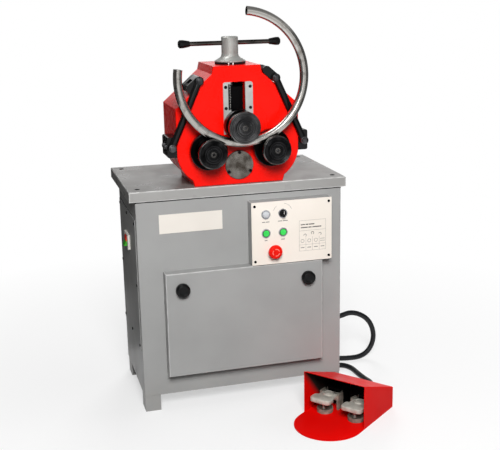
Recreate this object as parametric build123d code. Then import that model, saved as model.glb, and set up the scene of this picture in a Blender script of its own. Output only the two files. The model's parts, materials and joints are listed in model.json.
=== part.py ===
from build123d import *
import math
import os

# Millimetres. X right, Y to the back, Z up. The origin is on the floor, in the
# middle of the four anchor holes of the cabinet.

# Fits and gaps
running_fit = 0.05
slide_gap = 0.2
part_gap = 0.3
press_clear = 0.02
bolt_clear = 0.3
shaft_clear = 1.5

# Cabinet
cabinet_width = 665.0
cabinet_depth = 366.0
cabinet_sheet = 2.0
cabinet_bend_r = 3.0
leg_height = 54.0
leg_front_leaf = 50.0
leg_side_leaf = 60.0
leg_thickness = 4.0
leg_overlap = 80.0
leg_gap = 1.0
anchor_hole_r = 6.5
anchor_inset_x = 27.0
anchor_inset_y = 32.0
flange_width = 25.0
flange_lift = 4.0
vent_rows = 8
vent_pitch = 14.0
vent_height = 5.0
vent_width = 80.0
vent_x = 70.0
vent_drop = 210.0

# Table
table_width = 700.0
table_depth = 430.0
table_height = 723.0
table_sheet = 3.0
table_bend_r = 3.0
table_skirt = 32.0
skirt_gap = 1.0
rib_width = 28.0
rib_sheet = 2.0
rib_weld = 2.0
head_rib_spacing = 120.0
head_rib_share = 0.43
head_bolt_x = 105.0
head_bolt_r = 6.0
head_bolt_head_r = 10.0
head_bolt_head_height = 10.0
table_screw_inset_x = 32.0
table_screw_inset_y = 40.0
table_screw_r = 3.0
table_screw_head_r = 6.0
table_screw_length = 14.0
table_screw_recess_r = 2.0
table_screw_recess = 2.0

# Control box: its place from the cabinet's top, and each button from its middle
control_width = 264.0
control_height = 202.0
control_proud = 45.0
control_x = 152.5
control_drop = 120.0
control_bend_r = 2.0
control_rim = 15.0
plate_thickness = 2.5
plate_screw_x = 10.0
plate_screw_z = 12.0
plate_screw_r = 1.9
plate_screw_head_r = 4.0
screw_head_height = 2.0
button_r = 11.0
bezel_r = 14.5
bezel_height = 4.0
bezel_edge = 1.0
button_proud = 2.0
button_edge = 0.8
button_tail = 6.0
button_travel = 3.0
lamp_offset = (-86.2, 61.4)
selector_offset = (-30.7, 61.4)
left_button_offset = (-86.2, 0.8)
right_button_offset = (-30.7, 0.8)
emergency_offset = (-61.0, -57.5)
mushroom_r = 22.5
mushroom_proud = 26.0
mushroom_dome = 6.0
mushroom_rim = 10.0
mushroom_under = 14.0
emergency_travel = 5.0
selector_bar_half = 4.0
selector_bar_height = 10.0
lamp_dome = 5.0
contact_width = 26.0
contact_height = 36.0
contact_gap = 1.0
carrier_thickness = 3.0
carrier_margin = 8.0

# Access door, at the front
door_width = 512.0
door_bottom = 126.0
door_gap = 3.0
door_proud = 40.0
door_bend_r = 3.0
door_seat_gap = 0.5
door_margin = 22.0
door_sill = 34.0
hinge_offset = 8.0
hinge_barrel_r = 5.0
hinge_pin_r = 3.0
hinge_length = 450.0
hinge_knuckles = 5
hinge_leaf = 24.0
hinge_sheet = 2.0
knuckle_gap = 0.5
knuckle_web = 20.0
knob_r = 22.0
knob_length = 20.0
knob_edge = 4.0
knob_taper = 5.0
knob_seat_gap = 0.5
knob_spindle_r = 6.0
knob_inset_x = 51.5
knob_drop = 53.0
cam_half_width = 8.0
cam_thickness = 4.0
cam_gap = 1.0
cam_reach = 42.0

# Side cover and main switch, on the left side
cover_front_gap = 18.0
cover_back_gap = 8.0
cover_bottom = 205.0
cover_drop = 58.0
cover_rim_y = 30.0
cover_rim_z = 35.0
cover_screw_y = 12.0
cover_screw_z = 14.0
cover_screw_r = 2.0
cover_screw_head_r = 4.5
switch_y = 0.0
switch_drop = 162.0
switch_width = 75.0
switch_height = 48.0
switch_proud = 7.0
switch_edge_r = 1.5
rocker_width = 32.0
rocker_height = 32.0
rocker_room = 4.0
rocker_side_gap = 0.8
rocker_pin_r = 2.5
rocker_depth = 2.0
rocker_ridge = 3.5
rocker_tilt = 10.0
switch_box_width = 43.6
switch_box_height = 45.6
switch_box_depth = 38.0
switch_box_floor = 6.0

# Blank nameplate
nameplate_width = 200.0
nameplate_height = 60.0
nameplate_x = -162.0
nameplate_drop = 73.5
nameplate_thickness = 1.5

# Switchgear on the cabinet's back, from its left end and its rail's middle
rail_x = -270.0
rail_z = 347.5
rail_length = 200.0
rail_height = 35.0
rail_depth = 8.0
relay_width = 46.0
relay_height = 85.0
relay_depth = 80.0
relay_pitch = 50.0
transformer_width = 80.0
transformer_height = 95.0
transformer_depth = 72.0

# Bending head: heights are above the table
head_depth = 207.0
head_front = -170.0
head_height = 365.0
head_top_half = 73.6
shoulder_half = 79.0
shoulder_drop = 23.0
head_half = 194.0
bevel_drop = 123.0
waist_rise = 97.0
waist_bend_in = 17.0
waist_bend_rise = 50.0
foot_rise = 19.0
foot_flare = 5.4
head_foot_half = 141.6
head_front_wall = 25.0
head_edge = 2.0
head_wall = 12.0
head_rim = 6.0
rear_cover_thickness = 20.0
rear_recess = 3.0

# Pipe and rolls
pipe_diameter = 26.9
pipe_wall = 2.6
bend_radius = 195.2
pipe_start_angle = 170.8
pipe_sweep_angle = 273.9
groove_root_r = 34.0
upper_roll_rise = 186.0
upper_flange_r = 49.0
lower_roll_x = 100.0
lower_front_flange_r = 45.0
lower_rear_flange_r = 58.0
roll_gap = 8.0
groove_distance = 54.0
roll_front_distance = 84.0
rear_flange_distance = 30.0
roll_shaft_r = 20.0
roll_chamfer = 2.5
end_washer_r = 27.0
end_washer_thickness = 5.0
end_washer_proud = 2.0
end_washer_edge = 1.0
end_screw_r = 9.0
end_screw_head = 3.0
end_screw_stem_r = 6.0
end_screw_stem = 24.0
end_screw_room = 0.5

# Gears
gear_module = 3.0
roll_gear_teeth = 48
pinion_teeth = 27
gear_width = 30.0
pressure_angle = 20.0
root_depth = 1.25
gear_backlash = 0.3
gear_back = 6.0
gear_overlap = 2.0
worm_wheel_r = 50.0
worm_wheel_teeth = 20
wheel_slot_depth = 3.5
wheel_slot_width = 3.4
worm_r = 12.5
worm_pitch = 7.0
worm_turns = 12
worm_thread = 3.0
worm_shaft_r = 9.0
worm_gap = 0.5

# Bearings
front_bearing_r = 40.0
front_bearing_width = 18.0
rear_bearing_r = 36.0
rear_bearing_width = 17.0
pinion_front_bearing_r = 31.0
pinion_front_bearing_width = 16.0
pinion_bearing_inset = 2.0
rear_journal_r = 17.5
pinion_front_journal_r = 15.0
journal_gap = 0.5
seat_bore_clear = 4.0

# Front fittings of the head: heights are above the table
drive_cover_r = 45.0
drive_cover_thickness = 5.0
drive_cover_edge = 1.2
cover_screw_circle = 39.5
rail_inner = 23.0
rail_outer = 46.5
rail_low_rise = 158.0
rail_high_rise = 316.5
rail_thickness = 6.0
rail_corner_r = 7.0
rail_screw_x = 38.5
rail_screw_pitch = 64.3
rail_screw_low = 15.0
socket_head_r = 5.0
socket_head_height = 4.0
socket_stem_r = 3.0
socket_stem = 13.0
socket_share = 0.55
socket_depth_share = 0.6
ruler_width = 8.0
ruler_low_rise = 232.0
ruler_high_rise = 311.0
ruler_thickness = 0.8

# Press screw and T-handle
screw_y = -86.0
screw_r = 16.0
screw_pitch = 6.0
screw_thread = 3.0
screw_neck_r = 15.0
screw_collar_r = 24.0
screw_collar_height = 7.5
slide_travel = 42.0
slide_half_width = 40.0
slide_drop = 45.0
slide_back = -30.0
slot_room = 2.0
thrust_wall = 3.0
screw_end_room = 2.0
nut_length = 46.0
shaft_end_inset = 4.0
dial_r = 48.0
dial_height = 7.0
hub_r = 26.0
hub_height = 83.0
hub_flare_height = 16.0
hub_rim = 2.5
hub_cone = 7.0
hub_edge = 2.0
hub_socket = 4.0
stud_step = 3.0
stud_cover = 8.0
bar_height = 64.0
bar_half_length = 162.0
bar_r = 7.0
cap_r = 12.5
cap_length = 35.0
cap_edge = 4.0
cap_belly = 14.0
cap_taper = 3.5

# Guide arms: the foot pivots from the table, the fork pivots from the head's top
arm_pivot_x = 210.0
arm_pivot_rise = 126.0
fork_pivot_x = 120.0
fork_pivot_drop = 40.5
arm_half_width = 13.0
arm_thickness = 12.0
arm_edge = 1.5
arm_standoff = 4.0
arm_bolt_r = 6.0
arm_nut_r = 10.0
arm_nut_height = 7.7
nut_edge = 1.0
fork_bolt_r = 5.0
fork_bolt_head_r = 8.5
fork_bolt_head = 7.0
fork_bolt_reach = 26.0
fork_bolt_room = 1.0
fork_length = 48.0
fork_depth = 60.0
fork_gap = 1.0
fork_slot_start = 11.0
guide_roller_r = 12.5
guide_roller_length = 40.0
guide_roller_reach = 34.0
guide_roller_edge = 1.2
guide_pin_r = 4.0
bracket_width = 30.0
bracket_depth = 80.0
bracket_low_rise = 95.0
bracket_high_rise = 158.0
bracket_corner_r = 6.0
boss_inset = 1.0
boss_gap = 0.1

# Drive behind the head
gearbox_depth = 80.0
gearbox_boss = 11.0
gearbox_boss_rim = 10.0
gearbox_wall = 6.0
gearbox_drop = 11.0
gearbox_cap = 28.0
gearbox_left_room = 12.0
gearbox_right_room = 16.0
gearbox_corner_r = 12.0
gearbox_gap = 5.0
worm_cap = 2.0
motor_r = 62.0
motor_flange_r = 65.0
motor_flange_thickness = 12.0
motor_length = 235.0
motor_cowl = 40.0
motor_cowl_r = 8.0
motor_bore_depth = 22.0
fin_count = 18
fin_thickness = 3.0
fin_depth = 6.0
fin_root = 2.0
fin_gap = 4.0
fin_clear = 14.0
terminal_width = 70.0
terminal_height = 80.0
terminal_reach = 38.0
terminal_seat = 8.0
terminal_drop = 50.0

# Foot switch: middle of its mouth, and its turn about the vertical
foot_x = 219.5
foot_y = -425.0
foot_turn = -50.8
guard_width = 216.0
guard_depth = 190.0
guard_front_height = 142.0
guard_back_height = 70.0
guard_sheet = 2.0
guard_bend_r = 3.0
foot_base_thickness = 3.0
foot_base_step = 30.0
pedal_width = 72.0
pedal_gap = 40.0
pedal_front = 2.0
pedal_tread = 42.0
pedal_top = 58.0
pedal_lip = 16.0
pedal_edge_r = 4.0
pedal_neck_inset = 9.0
pedal_neck_drop = 4.0
pedal_neck_thickness = 12.0
pedal_axis_y = 84.0
pedal_axis_z = 40.0
pedal_barrel_r = 9.0
pedal_pin_r = 4.0
plunger_r = 4.0
plunger_bottom = 13.0
cheek_thickness = 7.0
cheek_front = 16.0
cheek_back = 14.0
cheek_rise = 16.0
cup_r = 26.0
cup_y = 42.0
cup_height = 13.0
cup_wall = 3.0
contact_box_gap = 5.0
contact_box_depth = 56.0
contact_box_height = 58.0

# Cable of the foot switch: steps from the cabinet gland to the points of the loop, and on the floor
cable_diameter = 18.0
cable_loop = (
    (69.5, 0.0, 0.0), (127.5, 0.0, 17.0), (193.5, -2.0, -21.0), (213.5, -6.0, -95.0),
)
cable_fold = (
    (175.5, -12.0), (89.5, -18.0), (-39.5, 46.0), (-105.5, -15.0),
    (-64.5, -82.0), (14.5, -56.0), (84.5, -72.0),
)
cable_approach = (-9.0, 90.0)
cable_foot_lead = 66.0
cable_arc_share = 0.45
gland_length = 34.0
gland_r = 14.0
gland_seat_share = 0.6
gland_tail = 8.0
gland_nut = 7.0
gland_step = 1.5
gland_nose = 5.0
foot_gland_length = 18.0
foot_gland_z = 18.0
side_gland_y = 24.0
side_gland_z = 165.0
mains_gland_x = -250.0
mains_gland_z = 120.0
mains_bore_r = 5.0

# Places that follow from the sizes above
front = -cabinet_depth / 2
back = cabinet_depth / 2
side = cabinet_width / 2
inside = side - cabinet_sheet
cabinet_top = table_height - table_skirt - skirt_gap
shell_rear = back - cabinet_sheet
table_front = front
table_back = front + table_depth
control_z = cabinet_top - control_drop
plate_front = front - control_proud
door_height = control_z - control_height / 2 - door_gap - door_bottom
door_top = door_bottom + door_height
door_face = front - door_proud
cover_top = cabinet_top - cover_drop
cover_front = front + cover_front_gap
cover_rear = back - cover_back_gap
switch_z = cabinet_top - switch_drop
nameplate_z = cabinet_top - nameplate_drop
head_top = table_height + head_height
head_back = head_front + head_depth
chamber_front = head_front + head_front_wall
cover_back = head_back - rear_recess
rear_cover_front = cover_back - rear_cover_thickness
upper_roll_z = table_height + upper_roll_rise
groove_r = pipe_diameter / 2 + part_gap
groove_y = head_front - groove_distance
pipe_centre_z = upper_roll_z - groove_root_r - groove_r + bend_radius
lower_reach = bend_radius + groove_root_r + groove_r
lower_roll_z = pipe_centre_z - math.sqrt(lower_reach**2 - lower_roll_x**2)
gear_distance = gear_module * (roll_gear_teeth + pinion_teeth) / 2
pinion_z = lower_roll_z - math.sqrt(gear_distance**2 - lower_roll_x**2)
gear_front = gear_back - gear_width
roll_back = head_front - roll_gap
roll_front = head_front - roll_front_distance
washer_seat = roll_front + end_washer_thickness - end_washer_proud
rail_top = table_height + rail_high_rise
arm_pivot_z = table_height + arm_pivot_rise
fork_pivot_z = head_top - fork_pivot_drop
gearbox_front = cover_back + gearbox_boss
gearbox_back = gearbox_front + gearbox_depth
gearbox_middle = (gearbox_front + gearbox_back) / 2
worm_x = worm_wheel_r + worm_gap + worm_r
gearbox_bottom = table_height - gearbox_drop
gearbox_top = pinion_z + worm_wheel_r + gearbox_cap
gearbox_left = -worm_wheel_r - gearbox_left_room
gearbox_right = worm_x + worm_r + gearbox_right_room
lamp_place = (control_x + lamp_offset[0], control_z + lamp_offset[1])
selector_place = (control_x + selector_offset[0], control_z + selector_offset[1])
left_button_place = (control_x + left_button_offset[0], control_z + left_button_offset[1])
right_button_place = (control_x + right_button_offset[0], control_z + right_button_offset[1])
emergency_place = (control_x + emergency_offset[0], control_z + emergency_offset[1])


def block(x0, x1, y0, y1, z0, z1):
    """Return a box between two limits on each axis."""
    middle = Pos((x0 + x1) / 2, (y0 + y1) / 2, (z0 + z1) / 2)
    return middle * Box(x1 - x0, y1 - y0, z1 - z0)


def rod_x(radius, x0, x1, y, z):
    """Return a cylinder along X."""
    return Pos((x0 + x1) / 2, y, z) * Rot(0, 90, 0) * Cylinder(radius, x1 - x0)


def rod_y(radius, y0, y1, x, z):
    """Return a cylinder along Y."""
    return Pos(x, (y0 + y1) / 2, z) * Rot(90, 0, 0) * Cylinder(radius, y1 - y0)


def rod_z(radius, z0, z1, x, y):
    """Return a cylinder along Z."""
    return Pos(x, y, (z0 + z1) / 2) * Cylinder(radius, z1 - z0)


def prism(sketch, y_front, y_back):
    """Return an X-Z sketch extruded between two depths."""
    return extrude(Plane.XZ.offset(-y_back) * sketch, y_back - y_front)


def polygon(points):
    """Return a face from a list of corner points."""
    return make_face(Polyline(*points, close=True))


def turned_y(points, x, z):
    """Return a solid turned about a Y axis from (radius, depth) points."""
    return Pos(x, 0, z) * revolve(polygon(points), Axis.Y)


def turned_z(points, x, y):
    """Return a solid turned about a Z axis from (radius, height) points."""
    return Pos(x, y, 0) * revolve(Plane.XZ * polygon(points), Axis.Z)


def thread_points(radius, depth, pitch, start, turns):
    """Return the (radius, height) points of a stack of thread ridges."""
    points = []
    for turn in range(turns):
        low = start + turn * pitch
        points += [(radius - depth, low), (radius, low + pitch / 4)]
        points += [(radius, low + pitch / 2), (radius - depth, low + pitch * 3 / 4)]
    return points


def group(*pieces):
    """Return separate solids as one node."""
    return Compound([solid for piece in pieces for solid in piece.solids()])


def mirrored(piece):
    """Return the piece mirrored to the other side of the machine."""
    return mirror(piece, Plane.YZ)


def socket_screw_y(x, z, y_top, y_tip, head_r, head_height, stem_r):
    """Return a socket-head screw along Y with its head to the front."""
    screw = rod_y(head_r, y_top, y_top + head_height, x, z)
    screw += rod_y(stem_r, y_top + head_height, y_tip, x, z)
    hexagon = Pos(x, z) * RegularPolygon(head_r * socket_share, 6)
    return screw - prism(hexagon, y_top, y_top + head_height * socket_depth_share)


def head_profile(inset):
    """Return the front outline of the head, moved inward."""
    waist_z = table_height + waist_rise
    half = [
        (head_top_half, head_top),
        (shoulder_half, head_top - shoulder_drop),
        (head_half, head_top - bevel_drop),
        (head_half, waist_z),
    ]
    curve = [
        (head_half, waist_z),
        (head_half - waist_bend_in, table_height + waist_bend_rise),
        (head_foot_half + foot_flare, table_height + foot_rise),
    ]
    foot = (head_foot_half, table_height)
    edges = []
    for sign in (1, -1):
        points = [(sign * x, z) for x, z in half]
        bend = [(sign * x, z) for x, z in curve]
        edges.append(Polyline(*points))
        edges.append(ThreePointArc(*bend))
        edges.append(Line(bend[2], (sign * foot[0], foot[1])))
    edges.append(Line((-foot[0], foot[1]), foot))
    edges.append(Line((-head_top_half, head_top), (head_top_half, head_top)))
    face = make_face(edges)
    if inset:
        face = offset(face, -inset, kind=Kind.INTERSECTION)
    return face


def gear_face(teeth, phase):
    """Return an involute gear outline; one tooth points along the phase angle."""
    pitch_r = gear_module * teeth / 2
    base_r = pitch_r * math.cos(math.radians(pressure_angle))
    root_r = pitch_r - root_depth * gear_module
    tip_r = pitch_r + gear_module

    def involute(radius):
        angle = math.acos(min(1.0, base_r / radius))
        return math.tan(angle) - angle

    half_tooth = math.pi / (2 * teeth) - gear_backlash / (2 * pitch_r)
    flank_start = max(root_r, base_r)
    flank = []
    for step in range(4):
        radius = flank_start + (tip_r - flank_start) * step / 3
        flank.append((radius, half_tooth + involute(pitch_r) - involute(radius)))
    if root_r < base_r:
        flank.insert(0, (root_r, flank[0][1]))
    points = []
    for tooth in range(teeth):
        centre = math.radians(phase) + 2 * math.pi * tooth / teeth
        for radius, spread in flank:
            points.append((radius, centre - spread))
        for radius, spread in reversed(flank):
            points.append((radius, centre + spread))
    return polygon([(r * math.cos(a), r * math.sin(a)) for r, a in points])


def gear_phase(direction, pinion_phase):
    """Return the phase that puts a roll gear in mesh with the pinion."""
    pitch = 360.0 / pinion_teeth
    lead = (pinion_phase - direction + pitch / 2) % pitch - pitch / 2
    gap_angle = direction + 180.0 - lead * pinion_teeth / roll_gear_teeth
    return gap_angle + 180.0 / roll_gear_teeth


def make_shell():
    """Return the folded front and sides of the cabinet."""
    sheet = cabinet_sheet
    shell = block(-side, side, front, shell_rear, leg_height, cabinet_top)
    corners = shell.edges().filter_by(Axis.Z).group_by(Axis.Y)[0]
    shell = fillet(corners, cabinet_bend_r)
    shell -= block(-inside, inside, front + sheet, back, leg_height, cabinet_top)
    flange_low = leg_height + leg_overlap + flange_lift
    for sign in (-1, 1):
        inner = sorted((sign * inside, sign * (side - flange_width)))
        shell += block(*inner, front + sheet, shell_rear, cabinet_top - sheet, cabinet_top)
        shell += block(*inner, shell_rear - sheet, shell_rear, flange_low, cabinet_top)
    shell += block(-inside, inside, front + sheet, front + flange_width, cabinet_top - sheet, cabinet_top)
    door_half = door_width / 2 - door_margin
    shell -= block(
        -door_half, door_half, front, front + sheet, door_bottom + door_sill, door_top - door_margin,
    )
    reach = control_width / 2 - control_rim
    rise = control_height / 2 - control_rim
    shell -= block(
        control_x - reach, control_x + reach, front, front + sheet, control_z - rise, control_z + rise,
    )
    shell -= block(
        -side, -inside, cover_front + cover_rim_y, cover_rear - cover_rim_y,
        cover_bottom + cover_rim_z, cover_top - cover_rim_z,
    )
    return shell - rod_x(gland_r * gland_seat_share, inside, side, side_gland_y, side_gland_z)


def make_back_panel():
    """Return the rear sheet with its vent slots and gland hole."""
    rear = block(-side, side, shell_rear, back, leg_height, cabinet_top)
    left = vent_x - vent_width / 2
    right = vent_x + vent_width / 2
    for row in range(vent_rows):
        low = cabinet_top - vent_drop + row * vent_pitch
        rear -= block(left, right, shell_rear, back, low, low + vent_height)
    return rear - rod_y(gland_r * gland_seat_share, shell_rear, back, mains_gland_x, mains_gland_z)


def make_base():
    """Return the floor tray and the four angle legs."""
    sheet = cabinet_sheet
    floor_back = shell_rear - sheet
    floor = block(-inside, inside, front + sheet, floor_back, leg_height, leg_height + sheet)
    legs = []
    for sign_x in (-1, 1):
        for sign_y in (-1, 1):
            edge_y = front + sheet if sign_y < 0 else shell_rear
            corner_x = sign_x * inside
            xs = sorted((corner_x, corner_x - sign_x * leg_front_leaf))
            thin_x = sorted((corner_x, corner_x - sign_x * leg_thickness))
            ys = sorted((edge_y, edge_y - sign_y * leg_side_leaf))
            thin_y = sorted((edge_y, edge_y - sign_y * leg_thickness))
            leg = block(*xs, *thin_y, 0, leg_height + leg_overlap)
            leg += block(*thin_x, *ys, 0, leg_height + leg_overlap)
            leg += block(*xs, *ys, 0, leg_thickness)
            hole_x = sign_x * (inside - anchor_inset_x)
            hole_y = sign_y * (shell_rear - anchor_inset_y)
            legs.append(leg - rod_z(anchor_hole_r, 0, leg_thickness, hole_x, hole_y))
            floor -= block(
                xs[0] - leg_gap, xs[1] + leg_gap, ys[0] - leg_gap, ys[1] + leg_gap,
                leg_height, leg_height + sheet,
            )
    return group(floor, *legs)


def make_table():
    """Return the folded table with the ribs welded under it."""
    half = table_width / 2
    under = table_height - table_sheet
    table = block(-half, half, table_front, table_back, table_height - table_skirt, table_height)
    bends = table.edges().filter_by(Axis.Z) + table.edges().group_by(Axis.Z)[-1]
    table = fillet(bends, table_bend_r)
    table -= block(
        -half + table_sheet, half - table_sheet, table_front + table_sheet, table_back - table_sheet,
        table_height - table_skirt, under,
    )
    for rib_y in rib_places():
        low = rib_y - rib_width / 2
        high = rib_y + rib_width / 2
        rib = block(-inside, inside, low, high, cabinet_top, under + rib_weld)
        rib -= block(-inside, inside, low + rib_sheet, high - rib_sheet, cabinet_top + rib_sheet, under)
        table += rib
    table -= block(
        gearbox_left - gearbox_gap, gearbox_right + gearbox_gap, head_back + rib_weld,
        gearbox_back + gearbox_gap, under, table_height,
    )
    for x, y in head_bolt_places():
        table -= rod_z(head_bolt_r + bolt_clear, cabinet_top - rib_weld, table_height, x, y)
    for x, y in table_screw_places():
        table -= table_screw(x, y, 0)
    return table


def make_cabinet():
    """Return the sheet-metal nodes of the cabinet and the table."""
    return {
        "cabinet_shell": make_shell(),
        "cabinet_back_panel": make_back_panel(),
        "cabinet_base": make_base(),
        "table_top": make_table(),
    }


def rib_places():
    """Return the Y of each rib under the table."""
    head_middle = head_front + head_depth * head_rib_share
    rear = shell_rear - rib_width / 2 - skirt_gap
    return (head_middle - head_rib_spacing / 2, head_middle + head_rib_spacing / 2, rear)


def head_bolt_places():
    """Return the X and Y of the bolts that hold the head."""
    return [(sign * head_bolt_x, y) for sign in (-1, 1) for y in rib_places()[:2]]


def table_screw_places():
    """Return the X and Y of the countersunk table screws."""
    reach = table_width / 2 - table_screw_inset_x
    depths = (table_front + table_screw_inset_y, table_back - table_screw_inset_y)
    return [(sign * reach, y) for sign in (-1, 1) for y in depths]


def table_screw(x, y, shrink):
    """Return a countersunk screw body, smaller by the shrink value."""
    top = table_height
    stem_r = table_screw_r - shrink
    head_r = table_screw_head_r - shrink
    neck = top - (table_screw_head_r - table_screw_r)
    tip = top - table_screw_length
    return turned_z([(0, tip), (stem_r, tip), (stem_r, neck), (head_r, top), (0, top)], x, y)


def make_main_switch(outer):
    """Return the main switch's body and rocker on the side cover."""
    box_half = switch_box_width / 2
    box_rise = switch_box_height / 2
    proud = outer - switch_proud
    body = block(
        proud, outer, switch_y - switch_width / 2, switch_y + switch_width / 2,
        switch_z - switch_height / 2, switch_z + switch_height / 2,
    )
    body = fillet(body.edges().group_by(Axis.X)[0], switch_edge_r)
    body += block(
        outer, outer + switch_box_depth, switch_y - box_half, switch_y + box_half,
        switch_z - box_rise, switch_z + box_rise,
    )
    room_y = rocker_width / 2 + rocker_side_gap
    room_z = rocker_height / 2 + rocker_room
    body -= block(
        proud, outer + switch_box_depth - switch_box_floor, switch_y - room_y, switch_y + room_y,
        switch_z - room_z, switch_z + room_z,
    )
    half = rocker_height / 2
    ridge = proud - rocker_ridge
    rocker_points = [
        (outer + rocker_depth, switch_z - half + rocker_side_gap),
        (outer + rocker_depth, switch_z + half - rocker_side_gap),
        (proud - rocker_depth, switch_z + half),
        (ridge, switch_z + rocker_depth),
        (ridge, switch_z - rocker_depth),
        (proud - rocker_tilt, switch_z - half),
    ]
    rocker = prism(polygon(rocker_points), switch_y - rocker_width / 2, switch_y + rocker_width / 2)
    rocker -= rod_y(rocker_pin_r + running_fit, switch_y - room_y, switch_y + room_y, outer, switch_z)
    body += rod_y(rocker_pin_r, switch_y - room_y, switch_y + room_y, outer, switch_z)
    return body, rocker


def make_side():
    """Return the left cover, the main switch and the small screws."""
    outer = -side - cabinet_sheet
    cover = block(outer, -side, cover_front, cover_rear, cover_bottom, cover_top)
    box_half = switch_box_width / 2 + slide_gap
    box_rise = switch_box_height / 2 + slide_gap
    cover -= block(
        outer, -side, switch_y - box_half, switch_y + box_half, switch_z - box_rise, switch_z + box_rise,
    )
    body, rocker = make_main_switch(outer)

    screws = []
    rows = (cover_bottom + cover_screw_z, (cover_bottom + cover_top) / 2, cover_top - cover_screw_z)
    cover_middle = (cover_front + cover_rear) / 2
    columns = (cover_front + cover_screw_y, cover_middle, cover_rear - cover_screw_y)
    for z in rows:
        for y in columns:
            if z == rows[1] and y == columns[1]:
                continue
            cover -= rod_x(cover_screw_r, outer, -side, y, z)
            head = rod_x(cover_screw_head_r, outer - screw_head_height, outer, y, z)
            screws.append(head + rod_x(cover_screw_r - press_clear, outer, -side, y, z))
    for x, z in plate_screw_places():
        head = rod_y(plate_screw_head_r, plate_front - screw_head_height, plate_front, x, z)
        screws.append(head + rod_y(plate_screw_r, plate_front, plate_front + plate_thickness, x, z))
    for x, y in table_screw_places():
        recess = rod_z(table_screw_recess_r, table_height - table_screw_recess, table_height, x, y)
        screws.append(table_screw(x, y, press_clear) - recess)
    return {
        "side_cover": cover,
        "main_switch_body": body,
        "main_switch_rocker": rocker,
        "panel_screws": group(*screws),
    }


def plate_screw_places():
    """Return the X and Z of the control plate's corner screws."""
    reach = control_width / 2 - plate_screw_x
    rise = control_height / 2 - plate_screw_z
    return [(control_x + a * reach, control_z + b * rise) for a in (-1, 1) for b in (-1, 1)]


def make_switchgear(contact_front, places):
    """Return the contact blocks, their carrier and the parts on the rear rail."""
    half = contact_width / 2
    rise = contact_height / 2
    contact_back = front - carrier_thickness
    pieces = [
        block(x - half, x + half, contact_front, contact_back, z - rise, z + rise) for x, z in places
    ]
    reach = control_width / 2 - carrier_margin
    lift = control_height / 2 - carrier_margin
    pieces.append(
        block(control_x - reach, control_x + reach, contact_back, front, control_z - lift, control_z + lift)
    )
    rail_front = shell_rear - rail_depth
    low = rail_z - rail_height / 2
    pieces.append(block(rail_x, rail_x + rail_length, rail_front, shell_rear, low, low + rail_height))
    parts = [(relay_width, relay_height, relay_depth)] * 2
    parts.append((transformer_width, transformer_height, transformer_depth))
    for place, (width, height, depth) in enumerate(parts):
        left = rail_x + place * relay_pitch
        low = rail_z - height / 2
        pieces.append(block(left, left + width, rail_front - depth, rail_front, low, low + height))
    return group(*pieces)


def make_control():
    """Return the control box with its buttons, and the blank nameplate."""
    x0 = control_x - control_width / 2
    x1 = control_x + control_width / 2
    z0 = control_z - control_height / 2
    z1 = control_z + control_height / 2
    box_front = plate_front + plate_thickness
    wall = cabinet_sheet
    box = block(x0, x1, box_front, front, z0, z1)
    box = fillet(box.edges().filter_by(Axis.Y), control_bend_r)
    box -= block(x0 + wall, x1 - wall, box_front + wall, front, z0 + wall, z1 - wall)
    plate = block(x0, x1, plate_front, box_front, z0, z1)
    plate = fillet(plate.edges().filter_by(Axis.Y), control_bend_r)
    for x, z in plate_screw_places():
        plate -= rod_y(plate_screw_r + press_clear, plate_front, box_front, x, z)
    places = (lamp_place, selector_place, left_button_place, right_button_place, emergency_place)
    bezel_front = plate_front - bezel_height
    bezels = []
    for x, z in places:
        hole = rod_y(button_r + part_gap, plate_front, box_front + wall, x, z)
        plate -= hole
        box -= hole
        ring = rod_y(bezel_r, bezel_front, plate_front, x, z)
        ring = chamfer(ring.edges().group_by(Axis.Y)[0], bezel_edge)
        bezels.append(ring - rod_y(button_r + part_gap, bezel_front, plate_front, x, z))

    rear = box_front + wall + button_tail
    face = bezel_front - button_proud

    def button(place):
        piece = rod_y(button_r, face, rear, *place)
        return chamfer(piece.edges().group_by(Axis.Y)[0], button_edge)

    top = plate_front - mushroom_proud
    mushroom = turned_y(
        [
            (0, top), (mushroom_r * 0.7, top), (mushroom_r * 0.925, top + mushroom_dome * 0.4),
            (mushroom_r, top + mushroom_dome), (mushroom_r, top + mushroom_rim),
            (mushroom_r * 0.75, top + mushroom_under - 1), (button_r, top + mushroom_under),
            (button_r, rear), (0, rear),
        ],
        *emergency_place,
    )
    select_x, select_z = selector_place
    knob = button(selector_place)
    knob += block(
        select_x - selector_bar_half, select_x + selector_bar_half, face - selector_bar_height, face,
        select_z - button_r + 1, select_z + button_r - 1,
    )
    lamp = turned_y(
        [
            (0, face - lamp_dome), (button_r * 0.45, face - lamp_dome * 0.8),
            (button_r * 0.77, face - lamp_dome * 0.3), (button_r, face + lamp_dome * 0.3),
            (button_r, rear), (0, rear),
        ],
        *lamp_place,
    )
    nameplate = block(
        nameplate_x - nameplate_width / 2, nameplate_x + nameplate_width / 2,
        front - nameplate_thickness, front,
        nameplate_z - nameplate_height / 2, nameplate_z + nameplate_height / 2,
    )
    contact_front = rear + max(button_travel, emergency_travel) + contact_gap
    return {
        "control_box": box,
        "control_plate": plate,
        "button_bezels": group(*bezels),
        "left_button": button(left_button_place),
        "right_button": button(right_button_place),
        "emergency_stop": mushroom,
        "selector_knob": knob,
        "pilot_lamp": lamp,
        "nameplate": nameplate,
        "switchgear": make_switchgear(contact_front, places),
    }


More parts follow.
